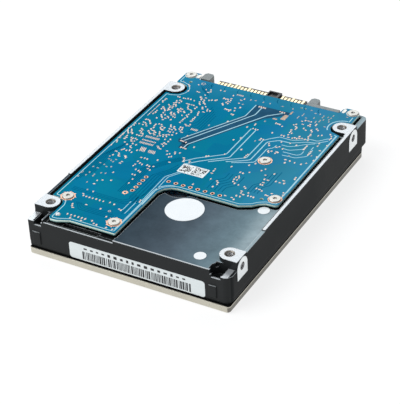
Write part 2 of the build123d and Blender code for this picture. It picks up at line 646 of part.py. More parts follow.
with BuildPart() as pivot_balls:
    for low, high in BEARINGS:
        for i in range(10):
            x, y = polar(PIVOT, (INNER_RING[1] + OUTER_RING[0]) / 2, 36 * i)
            with Locations((x, y, (low + high) / 2)):
                Sphere(0.47)
save(pivot_balls, "pivot_balls")


def coil_loop(grow, z_low, z_high, mode=Mode.ADD):
    """Rounded wedge loop of the voice coil, grown by an amount."""
    half_in, half_out = 17.0, 19.5   # half angles at the inner and outer arcs
    points = [polar(PIVOT, 16.6, COIL_DIR - half_out + 2 * half_out * i / 10) for i in range(11)]
    points += [polar(PIVOT, 9.4, COIL_DIR + half_in - 2 * half_in * i / 6) for i in range(7)]
    prism(points, z_low, z_high, mode, grow=grow)


COIL_GROW = 0.3          # outer face of the coil, beyond the loop
with BuildPart() as voice_coil:
    coil_loop(COIL_GROW, 5.5, 7.3)
    coil_loop(-1.35, 5, 8, CUT)
save(voice_coil, "voice_coil")

with BuildPart() as coil_frame:
    coil_loop(1.1, *TAIL_Z)
    sector(PIVOT, ARM_BODY_R, 9.6, COIL_DIR - 24, COIL_DIR + 24, *TAIL_Z)
    coil_loop(COIL_GROW, 5, 8, CUT)
    disc(PIVOT, ARM_BODY_R, 5, 8, CUT)
save(coil_frame, "coil_frame")

with BuildPart() as head_suspensions:
    for low, high in BEAMS:
        prism(both_sides(BEAM_HALF), low, high)
        disc(along(SWAGE, 0), 0.8, low - 0.05, high + 0.05, CUT)
save(head_suspensions, "head_suspensions")

with BuildPart() as head_sliders:
    for z_span in SLIDERS:
        prism(both_sides(SLIDER_HALF), *z_span)
save(head_sliders, "head_sliders")

# preamp board on the side of the arm comb
with BuildPart() as preamp_board:
    sector(PIVOT, ARM_BODY_R, PREAMP_BOARD_R, -62, -14, 3.4, 9.4)
save(preamp_board, "preamp_board")

with BuildPart() as preamp_chip:
    sector(PIVOT, PREAMP_BOARD_R, 7.2, -45, -31, 5.2, 7.4)
save(preamp_chip, "preamp_chip")

# ================================================================ voice coil motor, fixed side
YOKE_GAP = (3.2, 9.8)    # z span between the two yokes
YOKE_COVER_Z = 1.8       # cover side face of the lower yoke
YOKE_SCREWS = [polar(PIVOT, 16.9, angle) for angle in (15, 114)]
YOKE_HOLE_R = 0.75
MAGNET_Z = [(7.8, YOKE_GAP[1]), (YOKE_GAP[0], 5.0)]
MAGNET_ANGLES = [(29, 65.7), (66.7, 104)]

YOKES = [
    ("yoke_base_side", YOKE_GAP[1], Z_CAVITY),
    ("yoke_cover_side", YOKE_COVER_Z, YOKE_GAP[0]),
]
for name, low, high in YOKES:
    with BuildPart() as yoke:
        sector(PIVOT, 7.6, 19.0, 9, 121, low, high)
        discs(YOKE_SCREWS, YOKE_HOLE_R, low - 1, high + 1, CUT)
    save(yoke, name)

with BuildPart() as voice_magnets:
    for z_span in MAGNET_Z:
        for angles in MAGNET_ANGLES:
            sector(PIVOT, 8.2, 18.4, *angles, *z_span)
save(voice_magnets, "voice_magnets")

with BuildPart() as yoke_posts:
    for place in YOKE_SCREWS:
        ring(place, YOKE_HOLE_R, 1.5, *YOKE_GAP)
save(yoke_posts, "yoke_posts")

with BuildPart() as yoke_screws:
    for place in YOKE_SCREWS:
        disc(place, 1.4, 1.3, YOKE_COVER_Z)
        disc(place, 0.74, YOKE_COVER_Z, Z_CAVITY)
save(yoke_screws, "yoke_screws")

with BuildPart() as crash_stops:
    for angle in (20.7, 110.9):
        disc(polar(PIVOT, 14.0, angle), 1.1, *YOKE_GAP)
save(crash_stops, "crash_stops")

# ================================================================ load ramp
RAMP_SCREW = polar(PIVOT, 41.6, 198.5)
RAMP_LOW = 2.2
RAMP_FINGERS = [(8.3, 9.7), (5.7, 7.1), (3.1, 4.5)]   # z spans

with BuildPart() as load_ramp:
    for z_span in RAMP_FINGERS:
        sector(PIVOT, 37.15, 39.2, 191.5, 203.0, *z_span)
    # keep the fingers clear of the platter area
    disc(SPINDLE, 33.15, 1.5, 12, CUT)
    sector(PIVOT, 38.6, 41.0, 192.5, 202.0, RAMP_LOW, Z_CAVITY)
    disc(RAMP_SCREW, 1.8, RAMP_LOW, Z_CAVITY)
    disc(RAMP_SCREW, 0.8, 1, 12, CUT)
save(load_ramp, "load_ramp")

with BuildPart() as ramp_screw:
    disc(RAMP_SCREW, 1.5, 1.6, RAMP_LOW)
    disc(RAMP_SCREW, 0.79, RAMP_LOW, Z_CAVITY)
save(ramp_screw, "ramp_screw")

# ================================================================ shock latch
LATCH = (2.5, 36.5)
# outlines (x, y) of the finger towards the front and the tail towards the rear left
LATCH_FINGER = [(1.7, 36.5), (3.3, 36.5), (3.1, 29.6), (2.9, 28.2), (1.7, 28.2), (1.5, 29.6)]
LATCH_TAIL = [(1.6, 37.0), (3.4, 37.0), (0.6, 41.4), (-2.6, 41.4), (-2.6, 39.6)]

with BuildPart() as latch_pin:
    disc(LATCH, 0.8, 4.6, Z_CAVITY)
    disc(LATCH, 1.3, 4.6, 5.2)
save(latch_pin, "latch_pin")

with BuildPart() as shock_latch:
    disc(LATCH, 1.9, *TAIL_Z)
    prism(LATCH_FINGER, *TAIL_Z)
    prism(LATCH_TAIL, *TAIL_Z)
    disc(LATCH, 0.85, 5, 8, CUT)
save(shock_latch, "shock_latch")

# ================================================================ air path and cable
FILTER_PTS = [(-27.6, 22.2), (-24.2, 20.2), (-22.9, 22.4), (-26.3, 24.4)]
with BuildPart() as recirculation_filter:
    prism(FILTER_PTS, 3.0, Z_CAVITY, round_r=0.5)
save(recirculation_filter, "recirculation_filter")

with BuildPart() as breather_filter:
    disc(BREATHER, 3.6, Z_COVER_IN, 2.2)
save(breather_filter, "breather_filter")

with BuildPart() as flex_header:
    block(25.2, 29.3, 12.2, 20.8, 9.4, 12.6, round_r=0.9)
save(flex_header, "flex_header")

# centre line (x, y) of the ribbon, from the header to the arm
FLEX_PTS = [
    (25.1, 15.6), (23.4, 15.2), (21.6, 14.2), (20.4, 14.9), (20.2, 17.0), (19.6, 18.6),
    (18.9, 19.2),
]
with BuildPart() as flex_cable:
    with BuildSketch(Plane.XY.offset(4.2)) as ribbon:
        with BuildLine() as path:
            Spline(*FLEX_PTS)
        trace(path.line, line_width=0.14)
    extrude(ribbon.sketch, amount=4.4)
save(flex_cable, "flex_cable")
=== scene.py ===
"""A hard disk drive lying on its cover: finishes, board artwork, labels, threads and studio.

The drive lies flat on the XY plane with its circuit board up (+Z). The front label faces -Y,
the plug is at the rear (+Y), and left and right are -X and +X. Dimensions in this script are
millimetres unless a comment says otherwise; MM turns them into metres.
"""
import math
import random

import bmesh
import bpy
from mathutils import Matrix, Vector


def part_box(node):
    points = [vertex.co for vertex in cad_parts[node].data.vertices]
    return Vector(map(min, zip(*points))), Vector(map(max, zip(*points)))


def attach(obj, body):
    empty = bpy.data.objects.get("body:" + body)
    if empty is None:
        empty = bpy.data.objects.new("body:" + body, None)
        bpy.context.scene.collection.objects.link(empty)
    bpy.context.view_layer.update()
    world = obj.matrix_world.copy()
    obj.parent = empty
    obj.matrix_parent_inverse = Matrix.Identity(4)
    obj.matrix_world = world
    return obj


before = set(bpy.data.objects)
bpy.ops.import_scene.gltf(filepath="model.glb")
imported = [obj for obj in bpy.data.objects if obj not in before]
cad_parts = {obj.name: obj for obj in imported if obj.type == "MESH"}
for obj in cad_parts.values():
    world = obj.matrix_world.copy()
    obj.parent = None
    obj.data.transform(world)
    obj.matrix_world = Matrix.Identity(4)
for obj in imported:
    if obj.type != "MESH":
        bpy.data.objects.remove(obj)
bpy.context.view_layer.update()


MM = 0.001
BOARD_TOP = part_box("circuit_board")[1][2] / MM
MOUNT_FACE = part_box("base_casting")[1][2] / MM  # top of the casting's mounting pads

# mounting bores, mirrored left and right: upright ones at these places, and side ones
# at the same y and this height
BORE_X = 30.86
BORE_Y = (-40.375, 36.225)
SIDE_BORE_Z = 12.0

# heights of the thin layers on the board
GUARD_TOP = BOARD_TOP + 0.018
TRACK_TOP = BOARD_TOP + 0.022
BAND_TOP = BOARD_TOP + 0.010
BAND_TRACK_TOP = BOARD_TOP + 0.026
PAD_TOP = BOARD_TOP + 0.03
FAINT_TOP = BOARD_TOP + 0.02

ARTWORK_SHIFT = (0.08, -0.13)  # moves most of the board artwork as one

chance = random.Random(31)  # shared by all uneven details, so their order matters


# ------------------------------------------------------------------ shader building

class Shader:
    """A new material, with shorthands that add nodes and return their output sockets."""

    def __init__(self, name):
        self.material = bpy.data.materials.new(name)
        self.material.use_nodes = True
        self.tree = self.material.node_tree
        self.tree.nodes.clear()
        self.output = self.add("OutputMaterial")

    def feed(self, socket, value):
        """Link a socket, or set a constant; colours are given without alpha."""
        if isinstance(value, bpy.types.NodeSocket):
            self.tree.links.new(value, socket)
        elif socket.type == "RGBA":
            socket.default_value = (*value, 1)
        else:
            socket.default_value = value

    def add(self, kind, inputs=None, **settings):
        """Settings come first, because they decide which sockets are available."""
        new = self.tree.nodes.new("ShaderNode" + kind)
        for key, value in settings.items():
            setattr(new, key, value)
        for key, value in (inputs or {}).items():
            self.feed(new.inputs[key], value)
        return new

    def coordinates(self):
        return self.add("TexCoord").outputs["Object"]

    def true_normal(self):
        return self.add("NewGeometry").outputs["True Normal"]

    def axes(self, vector):
        return self.add("SeparateXYZ", {0: vector}).outputs

    def math(self, operation, first, *others):
        """Maths node; more than two values are chained from the left."""
        if not others:
            return self.add("Math", {0: first}, operation=operation).outputs[0]
        for other in others:
            first = self.add("Math", {0: first, 1: other}, operation=operation).outputs[0]
        return first

    def times(self, *values):
        return self.math("MULTIPLY", *values)

    def largest(self, *values):
        return self.math("MAXIMUM", *values)

    def without(self, value):
        """One minus the value."""
        return self.math("SUBTRACT", 1.0, value)

    def between(self, value, low, high):
        """1 where low < value < high."""
        return self.times(self.math("GREATER_THAN", value, low),
                          self.math("LESS_THAN", value, high))

    def span(self, value, low=-1000, high=1000):
        """As between, for a position, with the limits in millimetres."""
        return self.between(value, low * MM, high * MM)

    def offset(self, value, place):
        """Position relative to a place in millimetres."""
        return self.math("SUBTRACT", value, place * MM)

    def in_circle(self, across, along, radius):
        squared = self.math("ADD", self.times(across, across), self.times(along, along))
        return self.between(squared, -1.0, (radius * MM) ** 2)

    def noise(self, vector, scale, detail, roughness=0.5):
        return self.add("TexNoise", {"Vector": vector, "Scale": scale, "Detail": detail,
                                     "Roughness": roughness}).outputs["Fac"]

    def wave(self, vector, direction, **inputs):
        return self.add("TexWave", {"Vector": vector, **inputs},
                        bands_direction=direction).outputs["Fac"]

    def remap(self, value, source=(0.0, 1.0), target=(0.0, 1.0), **settings):
        limits = {"From Min": source[0], "From Max": source[1],
                  "To Min": target[0], "To Max": target[1]}
        return self.add("MapRange", {"Value": value, **limits}, **settings).outputs[0]

    def mix(self, factor, a, b, blend="MIX"):
        return self.add("Mix", {"Factor": factor, "A": a, "B": b},
                        data_type="RGBA", blend_type=blend).outputs["Result"]

    def bevel(self, radius, samples=6):
        return self.add("Bevel", {"Radius": radius * MM}, samples=samples).outputs[0]

    def bump(self, height, strength, depth, normal=None):
        new = self.add("Bump", {"Strength": strength, "Distance": depth * MM,
                                "Height": height})
        if normal:
            self.feed(new.inputs["Normal"], normal)
        return new.outputs[0]

    def surface(self, shading):
        self.feed(self.output.inputs["Surface"], shading)

    def surface_mix(self, mask, where_zero, where_one):
        joined = self.add("MixShader", {0: mask, 1: where_zero.outputs[0],
                                        2: where_one.outputs[0]})
        self.surface(joined.outputs[0])


def finish(name, colour, rough, metal=0.0, spread=0.10, grain=400.0, bump=0.15,
           bump_depth=0.02, stretch=(1, 1, 1), rough_spread=0.10, coat=0.0, specular=0.5,
           edge=0.0):
    """General finish whose colour, roughness and bump follow noise.

    spread varies the colour by that share, grain is the noise scale, edge is the radius of
    rounded edges. Returns the shader, its principled node and its colour socket.
    """
    shader = Shader(name)
    place = shader.add("Mapping", {"Vector": shader.coordinates(),
                                   "Scale": stretch}).outputs["Vector"]
    coarse = shader.noise(place, scale=grain * 0.18, detail=3.0)
    fine = shader.noise(place, scale=grain, detail=6.0, roughness=0.6)
    blotches = shader.remap(shader.math("ADD", coarse, fine), source=(0.7, 1.3))
    dark = [c * (1 - spread) for c in colour]
    light = [min(1, c * (1 + spread)) for c in colour]
    tint = shader.mix(blotches, dark, light)
    roughness = shader.remap(fine, source=(0.3, 0.7),
                             target=(max(0.02, rough - rough_spread),
                                     min(1.0, rough + rough_spread)))
    rounded = shader.bevel(edge) if edge else None
    principled = shader.add("BsdfPrincipled", {
        "Base Color": tint,
        "Roughness": roughness,
        "Normal": shader.bump(fine, strength=bump, depth=bump_depth, normal=rounded),
        "Metallic": metal,
        "Specular IOR Level": specular,
        "Coat Weight": coat,
        "Coat Roughness": 0.15,
    })
    shader.surface(principled.outputs["BSDF"])
    return shader, principled, tint


# ------------------------------------------------------------------ casting material

# painted sheen on the deck's black coat: blue-grey by place along its ramp, paler from left to
# right
DECK_SHEEN_TONES = (
    (0.08, (0.034, 0.054, 0.072)),
    (0.33, (0.058, 0.080, 0.101)),
    (0.47, (0.086, 0.121, 0.151)),
    (0.66, (0.128, 0.192, 0.224)),
    (0.735, (0.160, 0.232, 0.265)),
    (0.80, (0.33, 0.42, 0.455)),
)


def machined_areas(shader, x, y, z, normal_z):
    """Masks of all bare metal, of the bore walls and of the front left ledge."""
    from_centre = shader.math("ABSOLUTE", x)
    mount = shader.span(z, low=MOUNT_FACE - 0.02)
    side = shader.span(from_centre, low=34.88)
    seat = shader.span(z, high=2.83)
    # the cutter stops short of the right rail's inner edge
    uncut = shader.times(shader.span(x, low=33.4, high=33.82),
                         shader.span(y, low=-25.7, high=31.5))
    mount = shader.times(mount, shader.without(uncut))

    bare, bores = [mount, side, seat], []
    bore_across = shader.offset(from_centre, BORE_X)
    for bore_y in BORE_Y:
        along = shader.offset(y, bore_y)
        bore = shader.times(shader.in_circle(bore_across, along, radius=1.62),
                            shader.span(z, low=11.7))
        height = shader.offset(z, SIDE_BORE_Z)
        side_bore = shader.times(shader.in_circle(height, along, radius=1.3),
                                 shader.span(from_centre, low=32.2))
        bare += [bore, side_bore]
        bores += [bore, shader.times(side_bore, shader.span(from_centre, low=32.2, high=34.85))]

    # ledges at the two front corners
    left_ledge = shader.times(shader.span(x, high=-32.9), shader.span(z, low=12.05, high=12.15))
    right_ledge = shader.times(shader.span(x, low=31.9, high=33.9),
                               shader.span(z, low=11.85, high=11.95))
    bare.append(shader.times(shader.largest(left_ledge, right_ledge),
                             shader.span(y, high=-43.3),
                             shader.between(normal_z, 0.5, 2.0)))
    # top of the small dome near the front left
    dome = shader.in_circle(shader.offset(x, -25.5), shader.offset(y, -44.6), radius=0.86)
    bare.append(shader.times(dome, shader.span(z, low=13.5)))
    return shader.largest(*bare), shader.largest(*bores), left_ledge


def edge_glint(shader, bevel_normal):
    """Mask for a painted highlight: 1 on sharp outer edges that face up, 0 elsewhere."""
    dot = shader.add("VectorMath", {0: bevel_normal, 1: shader.true_normal()},
                     operation="DOT_PRODUCT").outputs["Value"]
    turned = shader.remap(dot, source=(0.995, 0.86))
    rising = shader.remap(shader.axes(bevel_normal)[2], source=(0.15, 0.55))
    occlusion = shader.add("AmbientOcclusion", {"Distance": 0.35 * MM}, samples=4)
    exposed = shader.remap(occlusion.outputs["AO"], source=(0.70, 0.95))
    return shader.times(turned, rising, exposed)


def deck_sheen(shader, position, x):
    """Painted sheen: the deck's black coat drawn blue-grey, paler towards the right side, with a
    mottle over it.
    """
    sheen_wobble = shader.noise(position, scale=26.0, detail=5.0, roughness=0.62)
    ramp = shader.add("ValToRGB", {
        0: shader.math("ADD", shader.times(x, 1 / (48 * MM)), shader.times(sheen_wobble, 0.24))})
    tones = ramp.color_ramp
    tones.interpolation = "B_SPLINE"
    while len(tones.elements) < len(DECK_SHEEN_TONES):
        tones.elements.new(0.5)
    for element, (place, colour) in zip(tones.elements, DECK_SHEEN_TONES):
        element.position = place
        element.color = (*colour, 1)
    grain = shader.noise(position, scale=170.0, detail=6.0, roughness=0.7)
    mottle = shader.remap(grain, source=(0.3, 0.7), target=(0.82, 1.16))
    return shader.add("VectorMath", {0: ramp.outputs[0], "Scale": mottle},
                      operation="SCALE").outputs["Vector"]


def casting_coat(shader, position, mapped, x, y, z, normal_y, normal_z):
    """Near-black coat with an orange-peel surface, a painted sheen on the deck and painted
    highlights on the edges.
    """
    peel = shader.noise(mapped, scale=900.0, detail=4.0, roughness=0.55)
    cloud = shader.noise(mapped, scale=45.0, detail=4.0, roughness=0.6)
    up = shader.between(normal_z, 0.5, 2.0)
    front = shader.between(normal_y, -2.0, -0.5)
    walls = shader.mix(cloud, (0.010, 0.0115, 0.012), (0.021, 0.0235, 0.0245))
    deck = shader.times(up, shader.span(z, low=13.3, high=14.7))
    # the deck gets its painted sheen in place of the wall colour
    colour = shader.mix(deck, walls, deck_sheen(shader, position, x))
    rounded = shader.bevel(0.34)
    # painted highlight: a pale line along the front top edges
    lip_highlight = shader.times(shader.span(y, high=-47.52),
                       shader.times(up, shader.span(z, low=9.0, high=13.6)))
    glint = shader.largest(edge_glint(shader, rounded), lip_highlight)
    return shader.add("BsdfPrincipled", {
        # painted highlight: the glint and lip masks mix a pale grey into the coat colour
        "Base Color": shader.mix(shader.times(glint, 0.9), colour, (0.60, 0.64, 0.66)),
        "Roughness": shader.remap(cloud, source=(0.3, 0.7), target=(0.30, 0.46)),
        # faces that look up or to the front reflect a little more than the walls
        "Specular IOR Level": shader.math("ADD", shader.times(up, 0.05), 0.03,
                                          shader.times(front, 0.10)),
        "IOR": shader.math("SUBTRACT", 1.5, shader.times(up, 0.38)),
        "Normal": shader.bump(peel, strength=0.22, depth=0.012, normal=rounded),
    })


def casting_metal(shader, mapped, normal_x, bores, left_ledge):
    """Bare metal with fine cutter marks; painted highlight makes the upright faces and the front
    left ledge brighter, and painted shade makes the bores darker.
    """
    cuts = shader.wave(mapped, "DIAGONAL", Scale=700.0, Distortion=2.5, Detail=2.0)
    smear = shader.noise(mapped, scale=260.0, detail=5.0)
    colour = shader.mix(smear, (0.40, 0.43, 0.455), (0.58, 0.61, 0.63))
    # painted highlight: upright faces, and a little of the front left ledge, are drawn brighter
    upright = shader.between(shader.math("ABSOLUTE", normal_x), 0.5, 2.0)
    brighter = shader.largest(upright, shader.times(left_ledge, 0.22))
    colour = shader.mix(brighter, colour, (1.75, 1.72, 1.66), blend="MULTIPLY")
    return shader.add("BsdfPrincipled", {
        # painted shade: a dark warm brown inside the bores
        "Base Color": shader.mix(bores, colour, (0.23, 0.21, 0.185)),
        "Metallic": 0.55,
        "Roughness": shader.remap(smear, target=(0.30, 0.48)),
        "Normal": shader.bump(cuts, strength=0.25, depth=0.008, normal=shader.bevel(0.12)),
    })


def casting_material():
    """Black coat over cast aluminium, bare where it is machined."""
    shader = Shader("cast_base_coat")
    position = shader.coordinates()
    x, y, z = shader.axes(position)
    normal_x, normal_y, normal_z = shader.axes(shader.true_normal())
    mapped = shader.add("Mapping", {"Vector": position}).outputs["Vector"]
    bare, bores, left_ledge = machined_areas(shader, x, y, z, normal_z)
    coat = casting_coat(shader, position, mapped, x, y, z, normal_y, normal_z)
    metal = casting_metal(shader, mapped, normal_x, bores, left_ledge)
    shader.surface_mix(bare, coat, metal)
    return shader.material


# ------------------------------------------------------------------ other special materials

def solder_mask(shader, position, x, y):
    """Blue mask over glass cloth, with a painted sheen that makes it paler towards the right
    side and the plug.
    """
    cloud = shader.noise(position, scale=60.0, detail=3.0)
    weave = [shader.wave(position, axis, Scale=330.0, Distortion=0.6) for axis in "XY"]
    patches = shader.add("TexVoronoi", {"Vector": position, "Scale": 120.0},
                         feature="F1", distance="CHEBYCHEV").outputs["Color"]
    colour = shader.mix(cloud, (0.000, 0.146, 0.262), (0.000, 0.204, 0.350))
    # painted sheen: paler towards the right side and the rear
    right = shader.remap(x, source=(2 * MM, 34 * MM), interpolation_type="SMOOTHSTEP")
    rear = shader.remap(y, source=(30 * MM, 47 * MM), interpolation_type="SMOOTHSTEP")
    pale = shader.math("MINIMUM", shader.math("ADD", right, shader.times(rear, 0.6)), 1.0)
    colour = shader.mix(pale, colour, (0.030, 0.058, 0.075), blend="ADD")
    return shader.add("BsdfPrincipled", {
        "Base Color": shader.mix(0.12, colour, patches, blend="MULTIPLY"),
        "Roughness": 0.36,
        "Specular IOR Level": 0.10,
        "IOR": 1.08,
        "Normal": shader.bump(shader.math("ADD", *weave), strength=0.12, depth=0.01,
                              normal=shader.bevel(0.10, samples=4)),
    })


def laminate_edge(shader, position, z):
    """Pale layered edge of the board, with painted shadow darkening it below its upper part."""
    layers = shader.wave(position, "Z", Scale=1700.0, Distortion=1.5)
    colour = shader.mix(layers, (0.50, 0.70, 0.62), (0.84, 0.94, 0.84))
    # painted shadow on the edge below its upper 0.52 mm
    below = shader.span(z, high=BOARD_TOP - 0.52)
    return shader.add("BsdfPrincipled", {
        "Base Color": shader.mix(below, colour, (0.16, 0.30, 0.33), blend="MULTIPLY"),
        "Roughness": 0.55,
    })


def board_material():
    shader = Shader("blue_solder_mask")
    position = shader.coordinates()
    x, y, z = shader.axes(position)
    normal_z = shader.axes(shader.true_normal())[2]
    flat = shader.math("GREATER_THAN", shader.math("ABSOLUTE", normal_z), 0.5)
    shader.surface_mix(flat, laminate_edge(shader, position, z),
                       solder_mask(shader, position, x, y))
    return shader.material


def plug_material():
    """Grey moulded plastic, with painted shade drawing the key opening at the rear near-black,
    and the tongue there darkened to near-black.
    """
    shader, principled, grey = finish("plug_plastic", colour=(0.155, 0.185, 0.190), rough=0.42,
                                      spread=0.12, grain=900, bump=0.25, edge=0.12)
    x, y, z = shader.axes(shader.coordinates())
    rear = shader.span(y, low=46.32)
    # painted shade: the key opening at the rear is drawn near-black
    block = shader.times(shader.span(x, low=-2.6, high=2.8), rear, shader.span(z, low=12.66))
    tongue = shader.times(shader.span(x, low=-21.6, high=12.1),
                          shader.times(rear, shader.span(z, low=11.3, high=12.7)))
    black = shader.largest(block, shader.times(tongue, 0.92))
    shader.feed(principled.inputs["Base Color"],
                shader.mix(black, grey, (0.010, 0.010, 0.011)))
    return shader.material


def cover_material():
    """Plated cover with a bright rim; painted shade makes the land under the gasket near-black
    and the right face dark and dull.
    """
    shader, principled, plating = finish(
        "champagne_cover", colour=(0.55, 0.525, 0.44), rough=0.34, metal=0.55, spread=0.06,
        grain=350, bump=0.10, edge=0.15, stretch=(1, 6, 1))
    _, y, z = shader.axes(shader.coordinates())
    normal_x, _, normal_z = shader.axes(shader.true_normal())
    # painted shade: the land under the gasket is drawn near-black, with no sheen and no metal
    land = shader.times(shader.between(normal_z, 0.5, 2.0), shader.span(z, low=2.2),
                        shader.span(y, low=-48.38))
    # painted shade: the right face below the rim is drawn darker
    shaded_right_face = shader.times(shader.between(normal_x, 0.4, 2.0), shader.span(z, high=1.95))
    colour = shader.mix(shaded_right_face, plating, (0.36, 0.355, 0.37), blend="MULTIPLY")
    colour = shader.mix(land, colour, (0.006, 0.006, 0.006))
    shade_share = shader.largest(land, shader.times(shaded_right_face, 0.6))
    shader.feed(principled.inputs["Base Color"], colour)
    # less reflection where shade is painted
    shader.feed(principled.inputs["Specular IOR Level"],
                shader.times(shader.without(shade_share), 0.5))
    shader.feed(principled.inputs["Metallic"], shader.times(shader.without(land), 0.55))
    return shader.material


# ------------------------------------------------------------------ general finishes

FINISHES = {
    "coated_paper": dict(colour=(0.72, 0.775, 0.78), rough=0.42, spread=0.03, grain=700,
                         bump=0.10),
    "seal_foil": dict(colour=(0.73, 0.77, 0.79), rough=0.38, spread=0.03, grain=300, bump=0.10,
                      edge=0.05),
    # near-black: on the gasket it is painted shade standing in for the shadow in the seam
    # between casting and cover; on the crash stops it is black rubber
    "gasket_rubber": dict(colour=(0.014, 0.014, 0.015), rough=0.62, spread=0.25, grain=900,
                          bump=0.3),
    "plated_screw": dict(colour=(0.42, 0.42, 0.39), rough=0.32, metal=0.6, spread=0.14,
                         grain=900, bump=0.22, edge=0.10),
    "ground_steel": dict(colour=(0.62, 0.62, 0.63), rough=0.20, metal=1.0, spread=0.06,
                         grain=500, bump=0.10, stretch=(1, 1, 8), edge=0.06),
    "machined_aluminium": dict(colour=(0.74, 0.75, 0.77), rough=0.30, metal=1.0, spread=0.06,
                               grain=420, bump=0.18, stretch=(1, 1, 10), edge=0.10),
    "stator_laminations": dict(colour=(0.26, 0.26, 0.27), rough=0.42, metal=0.9, spread=0.2,
                               grain=1500, bump=0.4, stretch=(0.1, 0.1, 1)),
    "enamelled_copper": dict(colour=(0.72, 0.30, 0.10), rough=0.28, metal=0.9, spread=0.22,
                             grain=2600, bump=0.8, stretch=(0.2, 0.2, 1), coat=0.4),
    "bearing_bronze": dict(colour=(0.50, 0.32, 0.14), rough=0.30, metal=1.0, spread=0.12,
                           grain=600, edge=0.08),
    "platter_film": dict(colour=(0.78, 0.79, 0.82), rough=0.05, metal=1.0, spread=0.015,
                         grain=60, bump=0.01, rough_spread=0.02, edge=0.08),
    "chip_compound": dict(colour=(0.022, 0.022, 0.025), rough=0.55, spread=0.3, grain=1300,
                          bump=0.35, edge=0.08),
    "fired_ceramic": dict(colour=(0.36, 0.24, 0.14), rough=0.45, spread=0.18, grain=1200,
                          bump=0.2, edge=0.06),
    "sintered_ferrite": dict(colour=(0.055, 0.055, 0.06), rough=0.50, metal=0.4, spread=0.25,
                             grain=1400, bump=0.35, edge=0.08),
    "black_film": dict(colour=(0.020, 0.020, 0.023), rough=0.40, spread=0.2, grain=260,
                       bump=0.25),
    "gold_plate": dict(colour=(0.72, 0.61, 0.38), rough=0.30, metal=0.85, spread=0.08,
                       grain=800, bump=0.12, edge=0.04),
    "polyimide_film": dict(colour=(0.56, 0.26, 0.05), rough=0.30, spread=0.15, grain=500,
                           bump=0.12, coat=0.4),
    "nickel_plate": dict(colour=(0.58, 0.57, 0.53), rough=0.24, metal=1.0, spread=0.07,
                         grain=380, bump=0.12, edge=0.12),
    "ramp_plastic": dict(colour=(0.70, 0.67, 0.58), rough=0.42, spread=0.06, grain=800,
                         bump=0.18, edge=0.08),
    "spun_felt": dict(colour=(0.80, 0.80, 0.77), rough=0.90, spread=0.12, grain=2600, bump=1.0,
                      bump_depth=0.15),
    "lapped_ceramic": dict(colour=(0.07, 0.06, 0.055), rough=0.25, spread=0.15, grain=1500,
                           bump=0.08),
    "tinned_pad": dict(colour=(0.58, 0.45, 0.385), rough=0.36, metal=0.25, spread=0.16,
                       grain=1800, bump=0.35),
    "masked_pad": dict(colour=(0.30, 0.30, 0.30), rough=0.40, metal=0.15, spread=0.25,
                       grain=1500, bump=0.3),
    "half_masked_copper": dict(colour=(0.40, 0.28, 0.20), rough=0.42, metal=0.2, spread=0.25,
                               grain=1300, bump=0.3),
    "solder_pad": dict(colour=(0.58, 0.58, 0.54), rough=0.32, metal=0.45, spread=0.12,
                       grain=1500, bump=0.4),
    "copper_ring": dict(colour=(0.72, 0.40, 0.26), rough=0.34, metal=0.5, spread=0.22,
                        grain=1600, bump=0.5),
    "plated_hole": dict(colour=(0.12, 0.012, 0.006), rough=0.5, metal=0.3, spread=0.3,
                        grain=1500, bump=0.2),
    "mask_over_track_bright": dict(colour=(0.36, 0.62, 0.72), rough=0.34, grain=900, bump=0.10,
                                   specular=0.05),
    # quiet tracks are drawn darker than the mask: painted shade standing in for the shaded sides
    # of the tracks
    "mask_over_track": dict(colour=(0.001, 0.112, 0.218), rough=0.34, spread=0.12, grain=900,
                            bump=0.10, specular=0.0),
    "mask_over_guard_track": dict(colour=(0.40, 0.66, 0.73), rough=0.34, spread=0.12,
                                  grain=700, bump=0.10, specular=0.05),
    "mask_without_copper": dict(colour=(0.018, 0.080, 0.150), rough=0.36, spread=0.18,
                                grain=420, bump=0.10, specular=0.0),
    "printed_ink": dict(colour=(0.012, 0.012, 0.014), rough=0.55, spread=0.25, grain=1800,
                        bump=0.1),
    "printed_ink_grey": dict(colour=(0.022, 0.024, 0.027), rough=0.55, spread=0.15, grain=1800,
                             bump=0.1),
}

MATERIALS = {
    "cast_base_coat": casting_material(),
    "blue_solder_mask": board_material(),
    "plug_plastic": plug_material(),
    "champagne_cover": cover_material(),
}
for name, values in FINISHES.items():
    MATERIALS[name] = finish(name, **values)[0].material

# material: the product's pieces that wear it
WORN_BY = {
    "cast_base_coat": "base_casting",
    "blue_solder_mask": "circuit_board",
    "plug_plastic": "plug_housing flex_header",
    "champagne_cover": "top_cover",
    "coated_paper": "cover_label serial_label board_label",
    "seal_foil": "port_seal hole_seals",
    "gasket_rubber": "cover_gasket crash_stops",
    "plated_screw": "cover_screws shaft_screws board_screws clamp_screws ramp_screw yoke_screws",
    "chip_compound": "controller_chip memory_chip motor_driver_chip flash_chips preamp_chip",
    "fired_ceramic": "board_capacitors",
    "sintered_ferrite": "surge_inductors rotor_magnet",
    "black_film": "board_insulator",
    "gold_plate": "plug_contacts",
    "machined_aluminium": "motor_bracket spindle_hub platter_spacers actuator_arm",
    "ground_steel": "spindle_shaft disk_clamp pivot_sleeve pivot_shaft pivot_inner_rings "
                    "pivot_outer_rings pivot_balls head_suspensions yoke_posts latch_pin",
    "stator_laminations": "stator_core",
    "enamelled_copper": "stator_windings voice_coil",
    "bearing_bronze": "bearing_sleeve",
    "platter_film": "platter_1 platter_2 platter_3",
    "nickel_plate": "yoke_base_side yoke_cover_side voice_magnets",
    "ramp_plastic": "coil_frame load_ramp shock_latch",
    "spun_felt": "recirculation_filter breather_filter",
    "polyimide_film": "flex_cable preamp_board",
    "lapped_ceramic": "head_sliders",
}
material_of = {piece: name for name, pieces in WORN_BY.items() for piece in pieces.split()}
for piece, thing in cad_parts.items():
    thing.data.materials.clear()
    thing.data.materials.append(MATERIALS[material_of[piece]])


# ------------------------------------------------------------------ flat geometry

